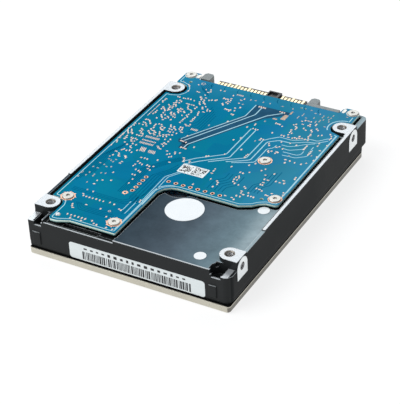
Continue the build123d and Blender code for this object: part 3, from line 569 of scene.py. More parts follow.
def shifted(*points):
    """Points moved by the artwork shift."""
    return [(x + ARTWORK_SHIFT[0], y + ARTWORK_SHIFT[1]) for x, y in points]


def unit(start, end):
    dx, dy = end[0] - start[0], end[1] - start[1]
    length = math.hypot(dx, dy) or 1e-9
    return dx / length, dy / length


def mean_direction(first, second):
    return unit((0, 0), (first[0] + second[0], first[1] + second[1]))


def doubled_area(outline):
    """Twice the area, positive when the outline runs anticlockwise."""
    following = outline[1:] + outline[:1]
    return sum(a[0] * b[1] - b[0] * a[1] for a, b in zip(outline, following))


def blob(centre, half_x, half_y, turn=0.0, count=12, power=2.6):
    """Rounded pad outline, turned in degrees."""
    turn = math.radians(turn)
    outline = []
    for i in range(count):
        angle = 2 * math.pi * (i + 0.5) / count
        cosine, sine = math.cos(angle), math.sin(angle)
        x = half_x * math.copysign(abs(cosine) ** (2 / power), cosine)
        y = half_y * math.copysign(abs(sine) ** (2 / power), sine)
        outline.append((centre[0] + x * math.cos(turn) - y * math.sin(turn),
                        centre[1] + x * math.sin(turn) + y * math.cos(turn)))
    return outline


def soft_corners(path, reach, steps):
    """Polyline with each bend replaced by a curve starting up to reach before it."""
    rounded = [path[0]]
    for before, corner, after in zip(path, path[1:], path[2:]):
        length_in, length_out = math.dist(before, corner), math.dist(corner, after)
        cut = min(reach, length_in * 0.45, length_out * 0.45)
        start = [c + (b - c) * cut / length_in for b, c in zip(before, corner)]
        end = [c + (a - c) * cut / length_out for a, c in zip(after, corner)]
        for step in range(steps + 1):
            t = step / steps
            rounded.append(tuple((1 - t) ** 2 * s + 2 * t * (1 - t) * c + t * t * e
                                 for s, c, e in zip(start, corner, end)))
    return rounded + [path[-1]]


def inset(outline, distance):
    """Closed outline moved inwards."""
    side = 1 if doubled_area(outline) > 0 else -1
    moved = []
    for i, here in enumerate(outline):
        arriving = unit(outline[i - 1], here)
        leaving = unit(here, outline[(i + 1) % len(outline)])
        inward = [(-dy * side, dx * side) for dx, dy in (arriving, leaving)]
        mitre = mean_direction(*inward)
        cosine = mitre[0] * inward[0][0] + mitre[1] * inward[0][1]
        length = distance / max(0.5, cosine)
        moved.append((here[0] + mitre[0] * length, here[1] + mitre[1] * length))
    return moved


# ------------------------------------------------------------------ solids

class Solids:
    """Closed little solids gathered into one mesh."""

    def __init__(self):
        self.vertices = []
        self.faces = []

    def prism(self, outline, bottom, top, crown=0.0, shrink=0.75):
        """Upright prism over a convex outline, with an optional raised, shrunken crown."""
        count, start = len(outline), len(self.vertices)
        if doubled_area(outline) < 0:
            outline = outline[::-1]
        centre_x = sum(x for x, y in outline) / count
        centre_y = sum(y for x, y in outline) / count
        rings = [(bottom, 1.0), (top, 1.0)]
        if crown:
            rings.append((top + crown, shrink))
        for z, size in rings:
            self.vertices += [(centre_x + (x - centre_x) * size,
                               centre_y + (y - centre_y) * size, z) for x, y in outline]
        self.faces.append(tuple(start + i for i in reversed(range(count))))
        for ring in range(len(rings) - 1):
            for i in range(count):
                a = start + ring * count + i
                b = start + ring * count + (i + 1) % count
                self.faces.append((a, b, b + count, a + count))
        last = start + (len(rings) - 1) * count
        self.faces.append(tuple(last + i for i in range(count)))

    def strip(self, path, width, top):
        """Flat track on the board along a polyline, mitred at its bends."""
        start, spans = len(self.vertices), len(path) - 1
        directions = [unit(a, b) for a, b in zip(path, path[1:])]
        for i, (x, y) in enumerate(path):
            near = directions[max(0, i - 1):i + 1]
            mean_x, mean_y = mean_direction(near[0], near[-1]) if len(near) > 1 else near[0]
            cosine = mean_x * near[0][0] + mean_y * near[0][1]
            reach = width / 2 / max(0.45, cosine)
            left = (x - mean_y * reach, y + mean_x * reach)
            right = (x + mean_y * reach, y - mean_x * reach)
            self.vertices += [(*left, BOARD_TOP), (*right, BOARD_TOP), (*right, top),
                              (*left, top)]
        for i in range(spans):
            a, b = start + 4 * i, start + 4 * (i + 1)
            for j in range(4):
                k = (j + 1) % 4
                self.faces.append((a + j, a + k, b + k, b + j))
        end = start + 4 * spans
        self.faces.append((start + 3, start + 2, start + 1, start))
        self.faces.append((end, end + 1, end + 2, end + 3))

    def ring(self, centre, inner, outer, bottom, top, count=28, wobble=0.0, crown=0.0):
        """Flat washer, its rim made uneven by the wobble."""
        start = len(self.vertices)
        rims = [outer + (chance.uniform(-wobble, wobble) if wobble else 0.0)
                for _ in range(count)]
        # share of the way from the inner radius to the rim, height
        profile = [(0, bottom), (1, bottom), (1, top), (0.5, top + crown), (0, top)]
        for i, rim in enumerate(rims):
            angle = 2 * math.pi * i / count
            for share, z in profile:
                radius = inner + (rim - inner) * share
                self.vertices.append((centre[0] + radius * math.cos(angle),
                                      centre[1] + radius * math.sin(angle), z))
        corners = len(profile)
        for i in range(count):
            a, b = start + corners * i, start + corners * ((i + 1) % count)
            for j in range(corners):
                k = (j + 1) % corners
                self.faces.append((a + j, b + j, b + k, a + k))

    def front_block(self, left, right, bottom, top, face_y, thickness=0.012):
        """Thin block standing out to the front of the plane at face_y."""
        start = len(self.vertices)
        for y in (face_y, face_y - thickness):
            self.vertices += [(left, y, bottom), (right, y, bottom), (right, y, top),
                              (left, y, top)]
        for face in ((0, 1, 2, 3), (7, 6, 5, 4), (0, 4, 5, 1), (1, 5, 6, 2), (2, 6, 7, 3),
                     (3, 7, 4, 0)):
            self.faces.append(tuple(start + corner for corner in face))

    def make(self, name, material, slot):
        """Build the object and let it ride on the chassis."""
        mesh = bpy.data.meshes.new(name)
        mesh.from_pydata([(x * MM, y * MM, z * MM) for x, y, z in self.vertices], [],
                         self.faces)
        mesh.validate()
        work = bmesh.new()
        work.from_mesh(mesh)
        bmesh.ops.recalc_face_normals(work, faces=work.faces)
        work.to_mesh(mesh)
        work.free()
        thing = bpy.data.objects.new(name, mesh)
        bpy.context.scene.collection.objects.link(thing)
        thing.data.materials.append(MATERIALS[material])
        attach(thing, "chassis")


# ------------------------------------------------------------------ board: guard track

# outline of the board (x, y), from the front near the middle, clockwise seen from above
BOARD_OUTLINE = [
    (-4.75, -45.7), (-20.5, -45.7), (-24.4, -47.3), (-26.5, -47.4), (-27.4, -46.5),
    (-27.4, -39.6), (-28.2, -37.6), (-30.2, -36.5), (-32.8, -36.4), (-32.8, 33.0),
    (-30.8, 32.6), (-28.4, 33.4), (-27.2, 35.4), (-27.2, 37.4), (-28.4, 39.4), (-30.6, 40.3),
    (-33.0, 40.4), (-33.0, 47.2), (-31.6, 48.6), (-27.7, 48.6), (-27.4, 45.8), (-26.2, 44.9),
    (25.9, 44.9), (26.2, 47.6), (27.2, 48.6), (31.0, 48.6), (32.3, 47.2), (32.3, 40.4),
    (30.5, 40.2), (28.5, 39.4), (27.2, 37.3), (27.2, 35.2), (28.5, 33.2), (30.6, 32.4),
    (32.05, 31.9), (32.05, -11.7), (31.4, -12.3), (28.3, -12.5), (26.4, -13.6), (24.9, -15.2),
    (21.3, -17.0), (0.2, -16.8), (-1.9, -17.3), (-3.7, -18.8), (-4.65, -20.9),
]
GUARD_START, GUARD_END = 33, 21  # outline points that bound the gap along the rear


def guard_track():
    """Track just inside the board's edge, open along the rear."""
    loop = inset(BOARD_OUTLINE, 0.85)
    guard = Solids()
    guard.strip(soft_corners(loop[GUARD_START:] + loop[:GUARD_END], reach=0.5, steps=2),
                width=0.26, top=GUARD_TOP)
    guard.make("board_guard_track", "mask_over_guard_track", "solder_mask")


# ------------------------------------------------------------------ board: tracks

# width, then the (x, y) stations
BRIGHT_TRACKS = (
    # long tracks to the right of the dark band
    (0.34, (4.3, 24.0), (4.3, 6.9), (0.3, 3.6), (-3.2, 0.8), (-6.2, -2.6)),
    (0.34, (6.1, 24.0), (6.1, 5.7), (2.2, 2.7), (-1.6, -0.4), (-5.2, -4.2)),
    (0.34, (11.0, 19.3), (11.0, 7.7), (6.0, 4.2), (1.2, 0.6)),
    (0.34, (15.0, 23.3), (12.7, 21.2), (11.2, 19.4)),
    (0.36, (19.6, 21.5), (15.8, 21.4), (12.7, 18.9), (12.7, 7.2), (11.0, 5.9), (6.2, 3.0)),
    (0.30, (14.5, 15.0), (14.5, 6.6), (12.8, 5.6), (8.0, 3.2)),
    (0.30, (16.3, 18.3), (16.1, 16.6), (14.6, 15.1)),
    # waves towards the right rear
    (0.30, (15.0, 23.3), (19.4, 23.2), (21.6, 24.3), (24.4, 26.2), (27.0, 26.1), (29.6, 29.0)),
    (0.30, (19.8, 21.6), (21.2, 22.4), (24.2, 24.2), (27.4, 25.0), (30.0, 27.6)),
    (0.28, (17.6, 19.3), (20.0, 19.3), (22.2, 20.6), (24.2, 22.6), (27.0, 24.4)),
    (0.28, (18.8, 17.6), (21.2, 17.4), (23.2, 18.7), (25.0, 19.9), (25.3, 22.6)),
    (0.28, (19.8, 15.8), (24.6, 15.8), (25.7, 16.8), (25.7, 18.8)),
    (0.28, (20.4, 14.0), (25.0, 14.2), (27.9, 16.6), (27.9, 20.6)),
    (0.28, (27.4, 22.4), (27.4, 20.4)),
    # along the right edge
    (0.50, (31.15, 31.6), (31.15, -4.6)),
    (0.34, (31.0, -4.6), (31.0, -7.2)),
)
RIGHT_REAR_TRACK = (0.34, (31.2, 44.0), (31.2, 41.0))
FRONT_BRIGHT_TRACKS = (
    (0.30, (-6.0, -43.8), (-6.0, -20.6), (-5.4, -18.4), (-3.6, -16.6), (-1.4, -15.9)),
    (0.24, (-7.6, -35.4), (-7.6, -28.0)),
    (0.24, (-9.2, -34.0), (-9.2, -29.0)),
)
FRONT_QUIET_TRACK = (0.24, (-8.4, -36.0), (-8.4, -26.0), (-7.4, -24.0), (-7.4, -16.0))
LEFT_EDGE_TRACKS = (
    (0.22, (-31.5, 31.0), (-31.5, -4.0)),
    (0.20, (-30.9, 16.0), (-30.9, 9.0)),
)
# groups of similar quiet tracks: how many, width, then stations of the first track and
# their step to the next track (x, y, step x, step y)
QUIET_FANS = (
    (3, 0.20, (-29.5, -29.5, 0, -0.7), (-12.0, -29.6, 1, -0.7), (-10.4, -28.0, 1, -0.7),
     (-10.4, -24.6, 1, -0.7)),
    (4, 0.20, (-24.2, -36.2, 0.5, 0), (-21.6, -39.4, 0.5, 0.72), (-11.6, -39.4, -0.7, 0.72),
     (-10.0, -37.8, -0.6, 0.7)),
    (5, 0.22, (-15.9, -26.0, 0.62, 0), (-15.9, -11.5, 0.62, 0), (-14.6, -9.6, 0.62, 0),
     (-11.2, -4.6, 0.62, 0), (-8.0, -1.0, 0.7, 0)),
    (7, 0.22, (-31.6, -27.0, 0.55, 1.2), (-31.6, -10.0, 0.55, 1.5), (-29.8, -8.0, 0.55, 1.5)),
    (6, 0.20, (-24.0, 44.0, 0.7, 0), (-24.0, 41.6, 0.7, -0.5), (-22.0, 39.0, 0.7, -0.5)),
    (9, 0.26, (-21.0, 44.2, 5.0, 0), (-21.0, 43.0, 5.0, 0), (-20.1, 42.0, 5.0, 0)),
    (5, 0.22, (8.0, -12.6, 1.3, 0), (8.0, -8.0, 1.3, -0.5), (10.4, -5.4, 1.3, -0.5),
     (10.4, -2.4, 1.3, 0)),
    (4, 0.22, (20.0, -8.8, 1.1, 0), (20.0, -5.0, 1.1, 0), (21.6, -3.2, 1.1, 0),
     (21.6, 2.0, 1.1, 1)),
    (5, 0.20, (-13.6, 30.6, 0.9, -1.1), (-13.6, 20.0, 0.9, -1.4), (-15.0, 17.8, 0.5, -1.4)),
)
ARC_CENTRE = (31.0, 36.3)
ARC_RADIUS = 4.9


def track(pile, width, *stations):
    pile.strip(soft_corners(shifted(*stations), reach=0.7, steps=3), width, TRACK_TOP)


def board_tracks():
    bright, quiet = Solids(), Solids()
    for row in BRIGHT_TRACKS:
        track(bright, *row)
    # arc round the right rear pad
    angles = [math.radians(degrees) for degrees in range(92, 218, 6)]
    arc = [(ARC_CENTRE[0] + ARC_RADIUS * math.cos(angle),
            ARC_CENTRE[1] + ARC_RADIUS * math.sin(angle)) for angle in angles]
    bright.strip(shifted(*arc), width=0.40, top=TRACK_TOP)
    track(bright, *RIGHT_REAR_TRACK)
    # bundle left of the middle, starting alternately nearer and farther to the front
    for k in range(6):
        x = -10.9 + 1.02 * k
        track(bright if k > 3 else quiet, 0.24,
              (x + 0.1 * k, -27.4 - 1.6 * (k % 2)), (x, -13.4 + 0.2 * k),
              (x + 3.4, -8.6 + 0.3 * k), (x + 4.6 + 0.4 * k, -4.9))
    for row in FRONT_BRIGHT_TRACKS:
        track(bright, *row)
    track(quiet, *FRONT_QUIET_TRACK)
    for count, width, *stations in QUIET_FANS:
        for k in range(count):
            track(quiet, width, *((x + step_x * k, y + step_y * k)
                                  for x, y, step_x, step_y in stations))
    for row in LEFT_EDGE_TRACKS:
        track(quiet, *row)
    bright.make("board_tracks_bright", "mask_over_track_bright", "solder_mask")
    quiet.make("board_tracks", "mask_over_track", "solder_mask")


# ------------------------------------------------------------------ board: dark band

# four-sided pieces of the band, from the rear to the front
BAND_PIECES = (
    ((-1.3, 38.2), (11.4, 38.2), (11.2, 36.4), (-1.3, 36.4)),
    ((-1.3, 36.4), (11.2, 36.4), (5.0, 31.0), (-1.3, 31.0)),
    ((-1.3, 31.0), (5.0, 31.0), (-8.9, 7.3), (-14.1, 8.4)),
    ((-14.1, 8.4), (-8.9, 7.3), (-9.4, 6.4), (-13.2, 6.9)),
    ((-11.9, 7.0), (-9.1, 7.0), (-8.9, 3.9), (-11.6, 3.9)),
)
# width, then stations
BAND_TRACKS = (
    (0.34, (-1.15, 38.0), (-1.15, 30.3), (-13.4, 8.9)),
    (0.36, (1.4, 37.2), (1.4, 32.3), (-11.9, 8.4)),
    (0.40, (9.3, 36.9), (5.1, 33.2), (-9.9, 6.7), (-9.9, 4.8)),
)


def dark_band():
    """Band without copper, and the bright tracks along it."""
    band = Solids()
    for piece in BAND_PIECES:
        band.prism(shifted(*piece), BOARD_TOP, BAND_TOP)
    band.make("board_dark_band", "mask_without_copper", "solder_mask")
    lines = Solids()
    for width, *stations in BAND_TRACKS:
        lines.strip(soft_corners(shifted(*stations), reach=0.6, steps=3), width,
                    BAND_TRACK_TOP)
    lines.make("band_tracks", "mask_over_track_bright", "solder_mask")


# ------------------------------------------------------------------ board: pads

# centres of the bare pads as x,y
PADS = """
-25.2,41.8 -28.3,40.5 -27.6,39.7 -26.3,36.6 -23.3,37.5 -22.6,37.4 -21.2,39.9 -19.6,40.4
-19.1,39.3 -19.7,38.6 -19.8,36.6 -16.5,41.6 -15.0,41.7 -11.0,40.3 -6.5,39.8 -7.2,38.7
-6.9,36.6 -13.0,37.4 -12.2,37.2 -11.5,37.4 -10.6,38.2 -10.3,37.2 -10.9,36.3 -10.2,36.1
-11.0,35.3 -10.2,34.8 -11.8,34.1 -11.3,33.5 -6.6,33.3 -5.2,34.3 -9.4,31.5 -8.7,31.3 -8.0,31.4
-7.4,31.6 -7.6,30.7 -6.0,31.7 -5.9,29.4 -5.2,29.2 -20.5,34.8 -19.8,34.2 -19.5,33.4
-18.6,35.0 -18.4,33.5 -18.2,32.6 -17.7,31.8 -17.0,31.4 -19.2,31.8 -18.8,30.9 -18.4,30.4
-16.9,34.1 -16.1,34.6 -15.0,34.9 -14.6,35.4 -27.6,31.8 -26.9,31.8 -25.4,31.8 -24.7,31.8
-23.8,32.1 -22.8,32.1 -21.3,31.8 -25.8,30.0 -25.0,29.6 -26.6,29.2 -25.2,28.5 -22.6,29.1
-21.8,29.0 -20.7,29.0 -19.9,29.0 -18.5,28.4 -18.6,27.4 -21.4,27.8 -21.0,26.9 -20.5,26.2
-19.6,26.0 -18.9,25.6 -18.5,24.8 -16.7,29.1 -16.2,28.3 -15.9,30.0 -14.5,28.7 -14.2,27.8
-13.3,28.1 -14.9,26.6 -26.7,27.6 -26.3,26.7 -25.7,27.0 -25.2,26.2 -26.2,28.2 -30.5,28.9
-30.5,28.1 -30.9,27.3 -30.5,26.6 -27.7,25.9 -26.9,25.3 -26.6,24.5 -25.9,25.6 -28.7,23.8
-28.0,23.2 -28.6,22.5 -27.4,22.6 -27.0,22.0 -26.6,23.7 -25.9,23.2 -25.7,24.6 -26.3,22.7
-23.6,24.7 -22.9,25.4 -22.9,24.4 -22.2,25.2 -22.8,23.5 -22.3,22.8 -21.0,24.2 -20.5,23.7
-22.0,23.9 -16.3,26.0 -16.1,25.1 -15.7,24.1 -15.8,22.4 -15.8,21.5 -15.7,20.6 -15.7,19.7
-18.6,23.2 -18.9,22.4 -18.3,21.7 -18.6,20.6 -18.7,19.6 -18.6,18.6 -18.7,17.6 -20.3,21.7
-24.5,21.9 -24.2,21.2 -23.6,20.5 -23.3,21.7 -22.7,21.0 -22.6,19.8 -21.8,19.6 -26.8,20.6
-25.6,19.7 -26.7,19.1 -26.2,18.4 -25.7,17.9 -24.2,19.1 -23.7,18.6 -24.4,17.8 -22.3,17.8
-27.1,16.8 -24.7,16.7 -29.4,20.9 -29.3,19.8 -29.6,18.8 -16.4,17.2 -15.8,16.6 -15.0,16.8
-15.0,17.8 -29.8,14.5 -29.1,14.7 -28.3,14.3 -27.8,13.6 -27.2,12.9 -29.7,12.7 -28.9,12.5
-28.2,11.9 -30.5,11.2 -29.1,11.2 -27.6,11.0 -31.8,10.9 -31.5,9.7 -24.4,13.8 -23.5,13.8
-25.3,13.1 -25.2,12.2 -24.9,11.1 -22.8,12.9 -22.8,11.9 -22.1,11.3 -21.6,12.4 -21.5,11.0
-20.5,14.8 -20.0,13.9 -19.0,14.3 -18.5,13.5 -19.8,12.6 -18.8,12.4 -17.7,12.9 -19.4,11.2
-18.6,10.9 -17.6,11.3 -17.0,15.0 -16.2,15.0 -16.8,13.8 -15.9,14.0 -15.9,13.0 -15.1,12.4
-16.3,11.1 -17.1,9.6 -12.3,11.3 -12.7,7.9 -11.9,7.8 -10.8,7.6 -10.8,4.4 -9.9,4.4 -9.0,4.2
-7.0,6.2 -0.9,3.1 -0.3,3.6 -4.8,24.8 -28.1,8.8 -27.4,8.3 -27.9,7.5 -27.2,7.2 -26.8,6.4
-26.1,6.2 -25.4,8.6 -24.7,7.9 -24.0,7.4 -23.1,8.0 -22.4,7.3 -23.6,9.3 -22.8,8.7 -21.7,9.5
-21.2,8.5 -25.2,10.0 -24.3,9.4 -19.7,8.5 -18.9,8.8 -18.2,9.3 -19.3,7.6 -18.3,8.0 -20.4,7.6
-21.0,7.0 -16.2,7.0 -17.8,6.3 -16.2,5.6 -17.0,4.3 -16.2,4.0 -17.2,3.4 -16.3,2.6 -17.8,1.7
-17.2,1.0 -16.4,0.7 -13.7,0.5 -11.0,1.0 -10.6,0.2 -9.4,1.2 -31.9,8.3 -32.1,7.2 -31.7,6.1
-30.8,7.0 -30.3,6.2 -29.8,5.4 -29.3,4.9 -31.2,5.3 -30.7,4.7 -32.0,3.9 -31.9,3.0 -32.0,2.0
-31.9,1.0 -30.2,3.1 -29.9,2.1 -30.0,1.2 -27.6,4.9 -26.6,4.8 -25.7,5.0 -28.3,2.7 -27.6,2.4
-26.8,2.8 -26.0,2.3 -27.6,1.5 -27.1,0.8 -26.3,1.2 -28.8,-0.6 -27.4,-1.5 -26.0,-0.3 -25.8,-2.0
-25.2,-2.7 -24.6,-0.5 -22.6,-3.2 -31.9,-3.8 -31.6,-0.8 -31.2,-1.6 -26.8,-4.3 -25.7,-4.7
-24.8,-4.2 -23.6,-5.0 -27.2,-5.0 -28.4,-6.5 -28.2,-8.8 -27.0,-7.1 -26.6,-7.9 -26.1,-8.6
-24.3,-7.6 -23.6,-8.6 -23.9,-8.1 -19.2,-6.3 -18.0,-6.2 -17.0,-6.3 -13.7,-5.4 -12.7,-1.2
-12.1,-0.6 -10.8,-1.8 -11.4,-2.3 -6.8,-0.8 -6.2,-1.8 -5.9,-2.7 -4.2,-1.6 -3.9,-2.4 -9.7,-4.9
-19.0,-8.7 -19.0,-11.5 -18.9,-10.5 -17.9,-9.3 -16.9,-9.7 -15.2,-9.4 -14.2,-9.7 -13.0,-9.2
-14.0,-11.0 -13.0,-11.5 -17.2,-13.0 -16.0,-13.3 -15.2,-13.7 -16.7,-15.9 -15.8,-15.9
-15.2,-18.2 -15.1,-20.6 -23.5,-11.0 -23.6,-12.0 -22.7,-17.5 -20.9,-21.7 -23.4,-22.7
-24.8,-23.6 -24.6,-25.6 -22.6,-29.4 -24.7,-31.7 -24.1,-32.5 -23.0,-32.6 -21.9,-32.6
-20.7,-32.6 -19.5,-32.5 -18.2,-32.6 -16.9,-32.6 -14.7,-32.3 -13.0,-32.6 -10.3,-34.1
-9.5,-34.4 -20.6,-36.4 -15.5,-36.4 -24.7,-37.8 -24.3,-38.6 -23.6,-39.4 -11.7,-39.2
-23.1,-43.0 -21.8,-43.0 -20.5,-43.0 -19.2,-43.0 -18.0,-43.0 -16.8,-43.0 -14.4,-42.9
-13.2,-43.9 -12.1,-44.1 -21.3,-44.3 -17.5,-44.2 -8.8,-44.1 -6.6,-44.1 -6.9,-27.2 -6.7,-28.1
0.3,37.5 1.0,37.5 1.8,37.5 2.5,37.4 8.0,37.5 8.8,37.4 9.6,37.4 10.0,30.4 10.8,30.3 11.6,30.2
12.7,29.5 4.2,27.2 4.3,26.5 2.6,24.3 4.8,24.3 5.7,24.2 6.5,24.2 11.6,24.6 10.0,19.8 10.9,19.6
10.0,18.9 3.9,17.5 2.3,15.5 7.3,11.4 10.5,9.7 10.4,8.8 10.4,7.8 3.8,6.7 18.0,36.0 19.0,36.1
20.0,36.0 17.2,35.1 22.3,35.3 22.3,34.6 20.5,34.3 20.2,33.5 20.9,33.3 18.2,33.5 15.7,32.0
16.3,32.6 16.8,31.2 17.4,30.7 17.4,29.8 19.6,31.3 20.6,30.6 22.3,31.3 22.9,30.5 23.6,32.7
24.3,32.1 26.7,29.9 25.8,29.2 23.2,29.0 23.4,28.2 23.2,27.3 23.6,26.4 16.4,28.9 16.6,28.0
16.6,27.1 17.4,27.0 16.8,25.7 15.0,24.5 15.9,24.4 17.5,24.3 18.9,24.4 19.5,24.9 20.3,24.7
21.0,25.2 21.8,25.6 22.9,25.4 24.0,25.2 20.6,26.2 28.1,25.1 28.3,23.5 30.1,21.3 29.0,31.5
29.8,30.6 30.2,29.5 30.1,28.6 30.9,25.0 30.8,17.6 30.8,15.3 29.4,12.9 28.2,11.7 26.0,11.6
24.2,11.9 22.6,12.0 23.2,10.3 27.8,19.6 27.8,18.6 27.8,17.6 25.2,22.0 25.2,20.9 25.2,19.8
22.0,21.1 19.7,21.3 16.8,20.8 19.0,17.3 17.5,18.0 16.8,17.3 13.6,18.3 14.2,17.3 15.4,14.2
16.4,14.6 15.9,13.6 18.0,14.0 18.6,14.7 18.1,14.9 19.5,4.4 18.7,3.2 13.8,4.3 23.2,3.2
15.2,6.0 30.1,4.1 30.2,3.2 21.0,1.4 15.8,0.7 9.2,1.2 27.5,1.0 5.2,-2.1 5.3,-3.3 5.4,-4.7
6.7,-7.7 9.0,-7.9 9.7,-8.6 9.9,-9.6 9.3,-11.2 3.2,-12.7 13.2,-0.5 14.2,-0.6 13.9,-2.6
13.3,-3.5 14.3,-3.4 13.3,-4.7 14.3,-4.7 13.6,-6.0 14.5,-6.7 16.0,-7.0 18.1,-7.1 18.8,-7.7
20.8,-9.6 18.5,-9.6 18.8,-10.6 19.8,-11.1 21.4,-11.0 22.4,-11.0 23.3,-11.1 18.2,-12.5
19.4,-12.5 15.1,-13.9 17.4,-14.0 18.4,-14.6 21.8,-0.8 23.0,-0.8 22.3,-2.6 22.0,-3.9 22.7,-3.9
21.9,-6.4 23.0,-6.5 24.0,-6.9 27.4,-6.9 26.0,-8.4 26.7,-8.5 25.5,-0.4 26.9,-0.5 28.3,-0.3
30.4,-5.0 30.9,-6.2
"""
# centres of the half-masked pads that are turned at random, then of those that are not
MASKED_PADS = """
-29.4,-14.5 -27.7,-14.8 -30.2,-17.3 -28.5,-17.4 -31.8,-21.0 -31.8,-21.8 -29.5,-20.6
-29.7,-22.4 -27.5,-21.0 -27.4,-21.9 -31.5,-24.0 -27.2,-25.7 -24.8,-29.2 -27.0,-11.8
-26.0,-12.2 -25.8,-10.8 -28.7,-9.9 -28.0,-11.4 -25.0,-15.0 -26.4,-15.6 -26.0,-19.4
-24.6,-19.0 -31.0,41.5 -4.3,40.2 -2.6,40.5 -5.4,36.5 2.6,40.8 7.2,40.9 11.0,40.9 0.2,40.6
20.6,41.6 19.0,41.4 17.0,42.6 29.4,43.6 25.3,35.0 17.4,37.5 22.6,14.4 6.2,30.0
"""
MASKED_UPRIGHT_PADS = """
15.7,39.4 15.7,38.4 14.9,37.2 14.9,36.4 22.2,41.0 22.2,40.0 23.8,40.9 25.0,42.4 24.9,40.8
24.7,39.6 22.3,38.0 22.3,37.2 23.1,38.8 19.8,38.6 21.3,36.8 21.4,36.2 8.9,17.8 29.0,17.5
-9.2,20.0 25.2,38.4
"""
# rows of narrow bars: first x, last x at most, y, half length, turn in degrees
BAR_ROWS = (
    (-24.3, -19.2, 5.4, 0.62, 0), (-24.3, -19.2, 3.2, 0.42, 0), (-24.3, -19.2, 1.5, 0.55, 0),
    (-22.0, -20.2, -1.9, 1.35, 14), (-18.9, -16.5, -2.1, 0.95, 14),
    (-10.0, -7.4, 41.4, 0.42, 0), (-13.2, -11.0, 15.5, 0.62, 0),
)
BAR_PITCH = 0.52
BAR_HALF_WIDTH = 0.17


def centres(text):
    return [tuple(float(number) for number in pair.split(",")) for pair in text.split()]


def pad(pile, x, y, half_x, half_y, turn=0):
    pile.prism(blob(shifted((x, y))[0], half_x, half_y, turn), BOARD_TOP, PAD_TOP, crown=0.02)


def board_pads():
    bare, masked = Solids(), Solids()
    for x, y in centres(PADS):
        half_length = chance.uniform(0.36, 0.50)
        half_width = chance.uniform(0.24, 0.31)
        # the left rear field has slanting pads
        turns = (0, 24, 28, 32, 90) if x < -12 and y > 6 else (0, 0, 90, 20)
        pad(bare, x, y, half_width, half_length, chance.choice(turns))
    for first, last, y, half_length, turn in BAR_ROWS:
        for i in range(int((last - first) / BAR_PITCH) + 1):
            pad(bare, first + BAR_PITCH * i, y, BAR_HALF_WIDTH, half_length, turn)
    # column near the left edge
    for i in range(9):
        pad(bare, -30.65, 24.6 - 0.92 * i, BAR_HALF_WIDTH, 0.40)
    for x, y in centres(MASKED_PADS):
        pad(masked, x, y, 0.26, 0.40, chance.choice((0, 20, 90)))
    for x, y in centres(MASKED_UPRIGHT_PADS):
        pad(masked, x, y, 0.22, 0.46)
    bare.make("board_pads", "tinned_pad", "gold_contact")
    masked.make("board_masked_pads", "masked_pad", "gold_contact")


COPPER_BLOCKS = (
    ((10.0, 33.2), (11.7, 33.2), (11.7, 36.4), (10.3, 36.4)),
    ((11.4, 37.2), (12.1, 37.4), (12.0, 39.4), (11.5, 39.2)),
    ((7.6, 32.3), (9.2, 32.3), (9.2, 33.0), (7.8, 33.0)),
)


def copper_blocks():
    """Half-masked copper at the rear right end of the band."""
    blocks = Solids()
    for outline in COPPER_BLOCKS:
        blocks.prism(shifted(*outline), BOARD_TOP, PAD_TOP)
    blocks.make("board_copper_block", "half_masked_copper", "gold_contact")


# ------------------------------------------------------------------ board: rings and holes

SCREW_RING_INNER = 1.93
# x, y, outer radius
COPPER_SCREW_RINGS = (
    (-28.2, -34.9, 2.32), (-8.0, -40.8, 2.32), (17.2, 8.6, 2.32), (29.7, -9.3, 2.2),
)
SOLDER_SCREW_RINGS = ((30.2, 46.4), (-30.6, 46.5))
SOLDER_PADS = ((-27.7, 46.75), (27.05, 46.6))
SPOKE_RADIUS = 2.42
# a row of plated holes across the board, and a column of them towards the front
HOLES = [(-4.3 + 2.57 * i, -14.7) for i in range(8)]
HOLES += [(-11.9, -15.5 - 2.07 * i) for i in range(5)]


def rings_and_holes():
    copper, solder, walls, faint = Solids(), Solids(), Solids(), Solids()
    for x, y, outer in COPPER_SCREW_RINGS:
        copper.ring((x, y), SCREW_RING_INNER, outer, BOARD_TOP, PAD_TOP, count=40,
                    wobble=0.07, crown=0.03)
    for centre in SOLDER_SCREW_RINGS:
        solder.ring(centre, SCREW_RING_INNER, 2.15, BOARD_TOP, PAD_TOP, count=32,
                    wobble=0.03, crown=0.02)
    for centre in SOLDER_PADS:
        solder.prism(blob(centre, half_x=0.62, half_y=1.35, count=20, power=3), BOARD_TOP,
                     PAD_TOP, crown=0.05, shrink=0.8)
    # spokes round the two front left screws
    for i in range(8):
        turn = 45 * i + 12
        angle = math.radians(turn)
        for x, y, _ in COPPER_SCREW_RINGS[:2]:
            centre = (x + SPOKE_RADIUS * math.cos(angle), y + SPOKE_RADIUS * math.sin(angle))
            copper.prism(blob(centre, half_x=0.24, half_y=0.16, turn=turn), BOARD_TOP, PAD_TOP)
    for centre in HOLES:
        copper.ring(centre, 0.42, 0.66, BOARD_TOP, PAD_TOP, count=20, wobble=0.03, crown=0.02)
        walls.ring(centre, 0.30, 0.40, BOARD_TOP - 0.78, BOARD_TOP - 0.02, count=16)
    front_left, rear_left, front = shifted((-13.4, -25.6), (-23.9, 43.0), (-12.4, -36.3))
    copper.ring(front_left, 0.42, 0.92, BOARD_TOP, PAD_TOP, count=24, wobble=0.05, crown=0.03)
    faint.ring(rear_left, 0.45, 0.85, BOARD_TOP, FAINT_TOP, count=24)
    faint.ring(front, 0.22, 0.50, BOARD_TOP, PAD_TOP, count=20)
    copper.make("board_copper_rings", "copper_ring", "gold_contact")
    solder.make("board_solder_pads", "solder_pad", "gold_contact")
    walls.make("board_hole_walls", "plated_hole", "gold_contact")
    faint.make("board_faint_rings", "masked_pad", "solder_mask")


# ------------------------------------------------------------------ printed marks

def box_mm(piece):
    low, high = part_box(piece)
    return [c / MM for c in low], [c / MM for c in high]


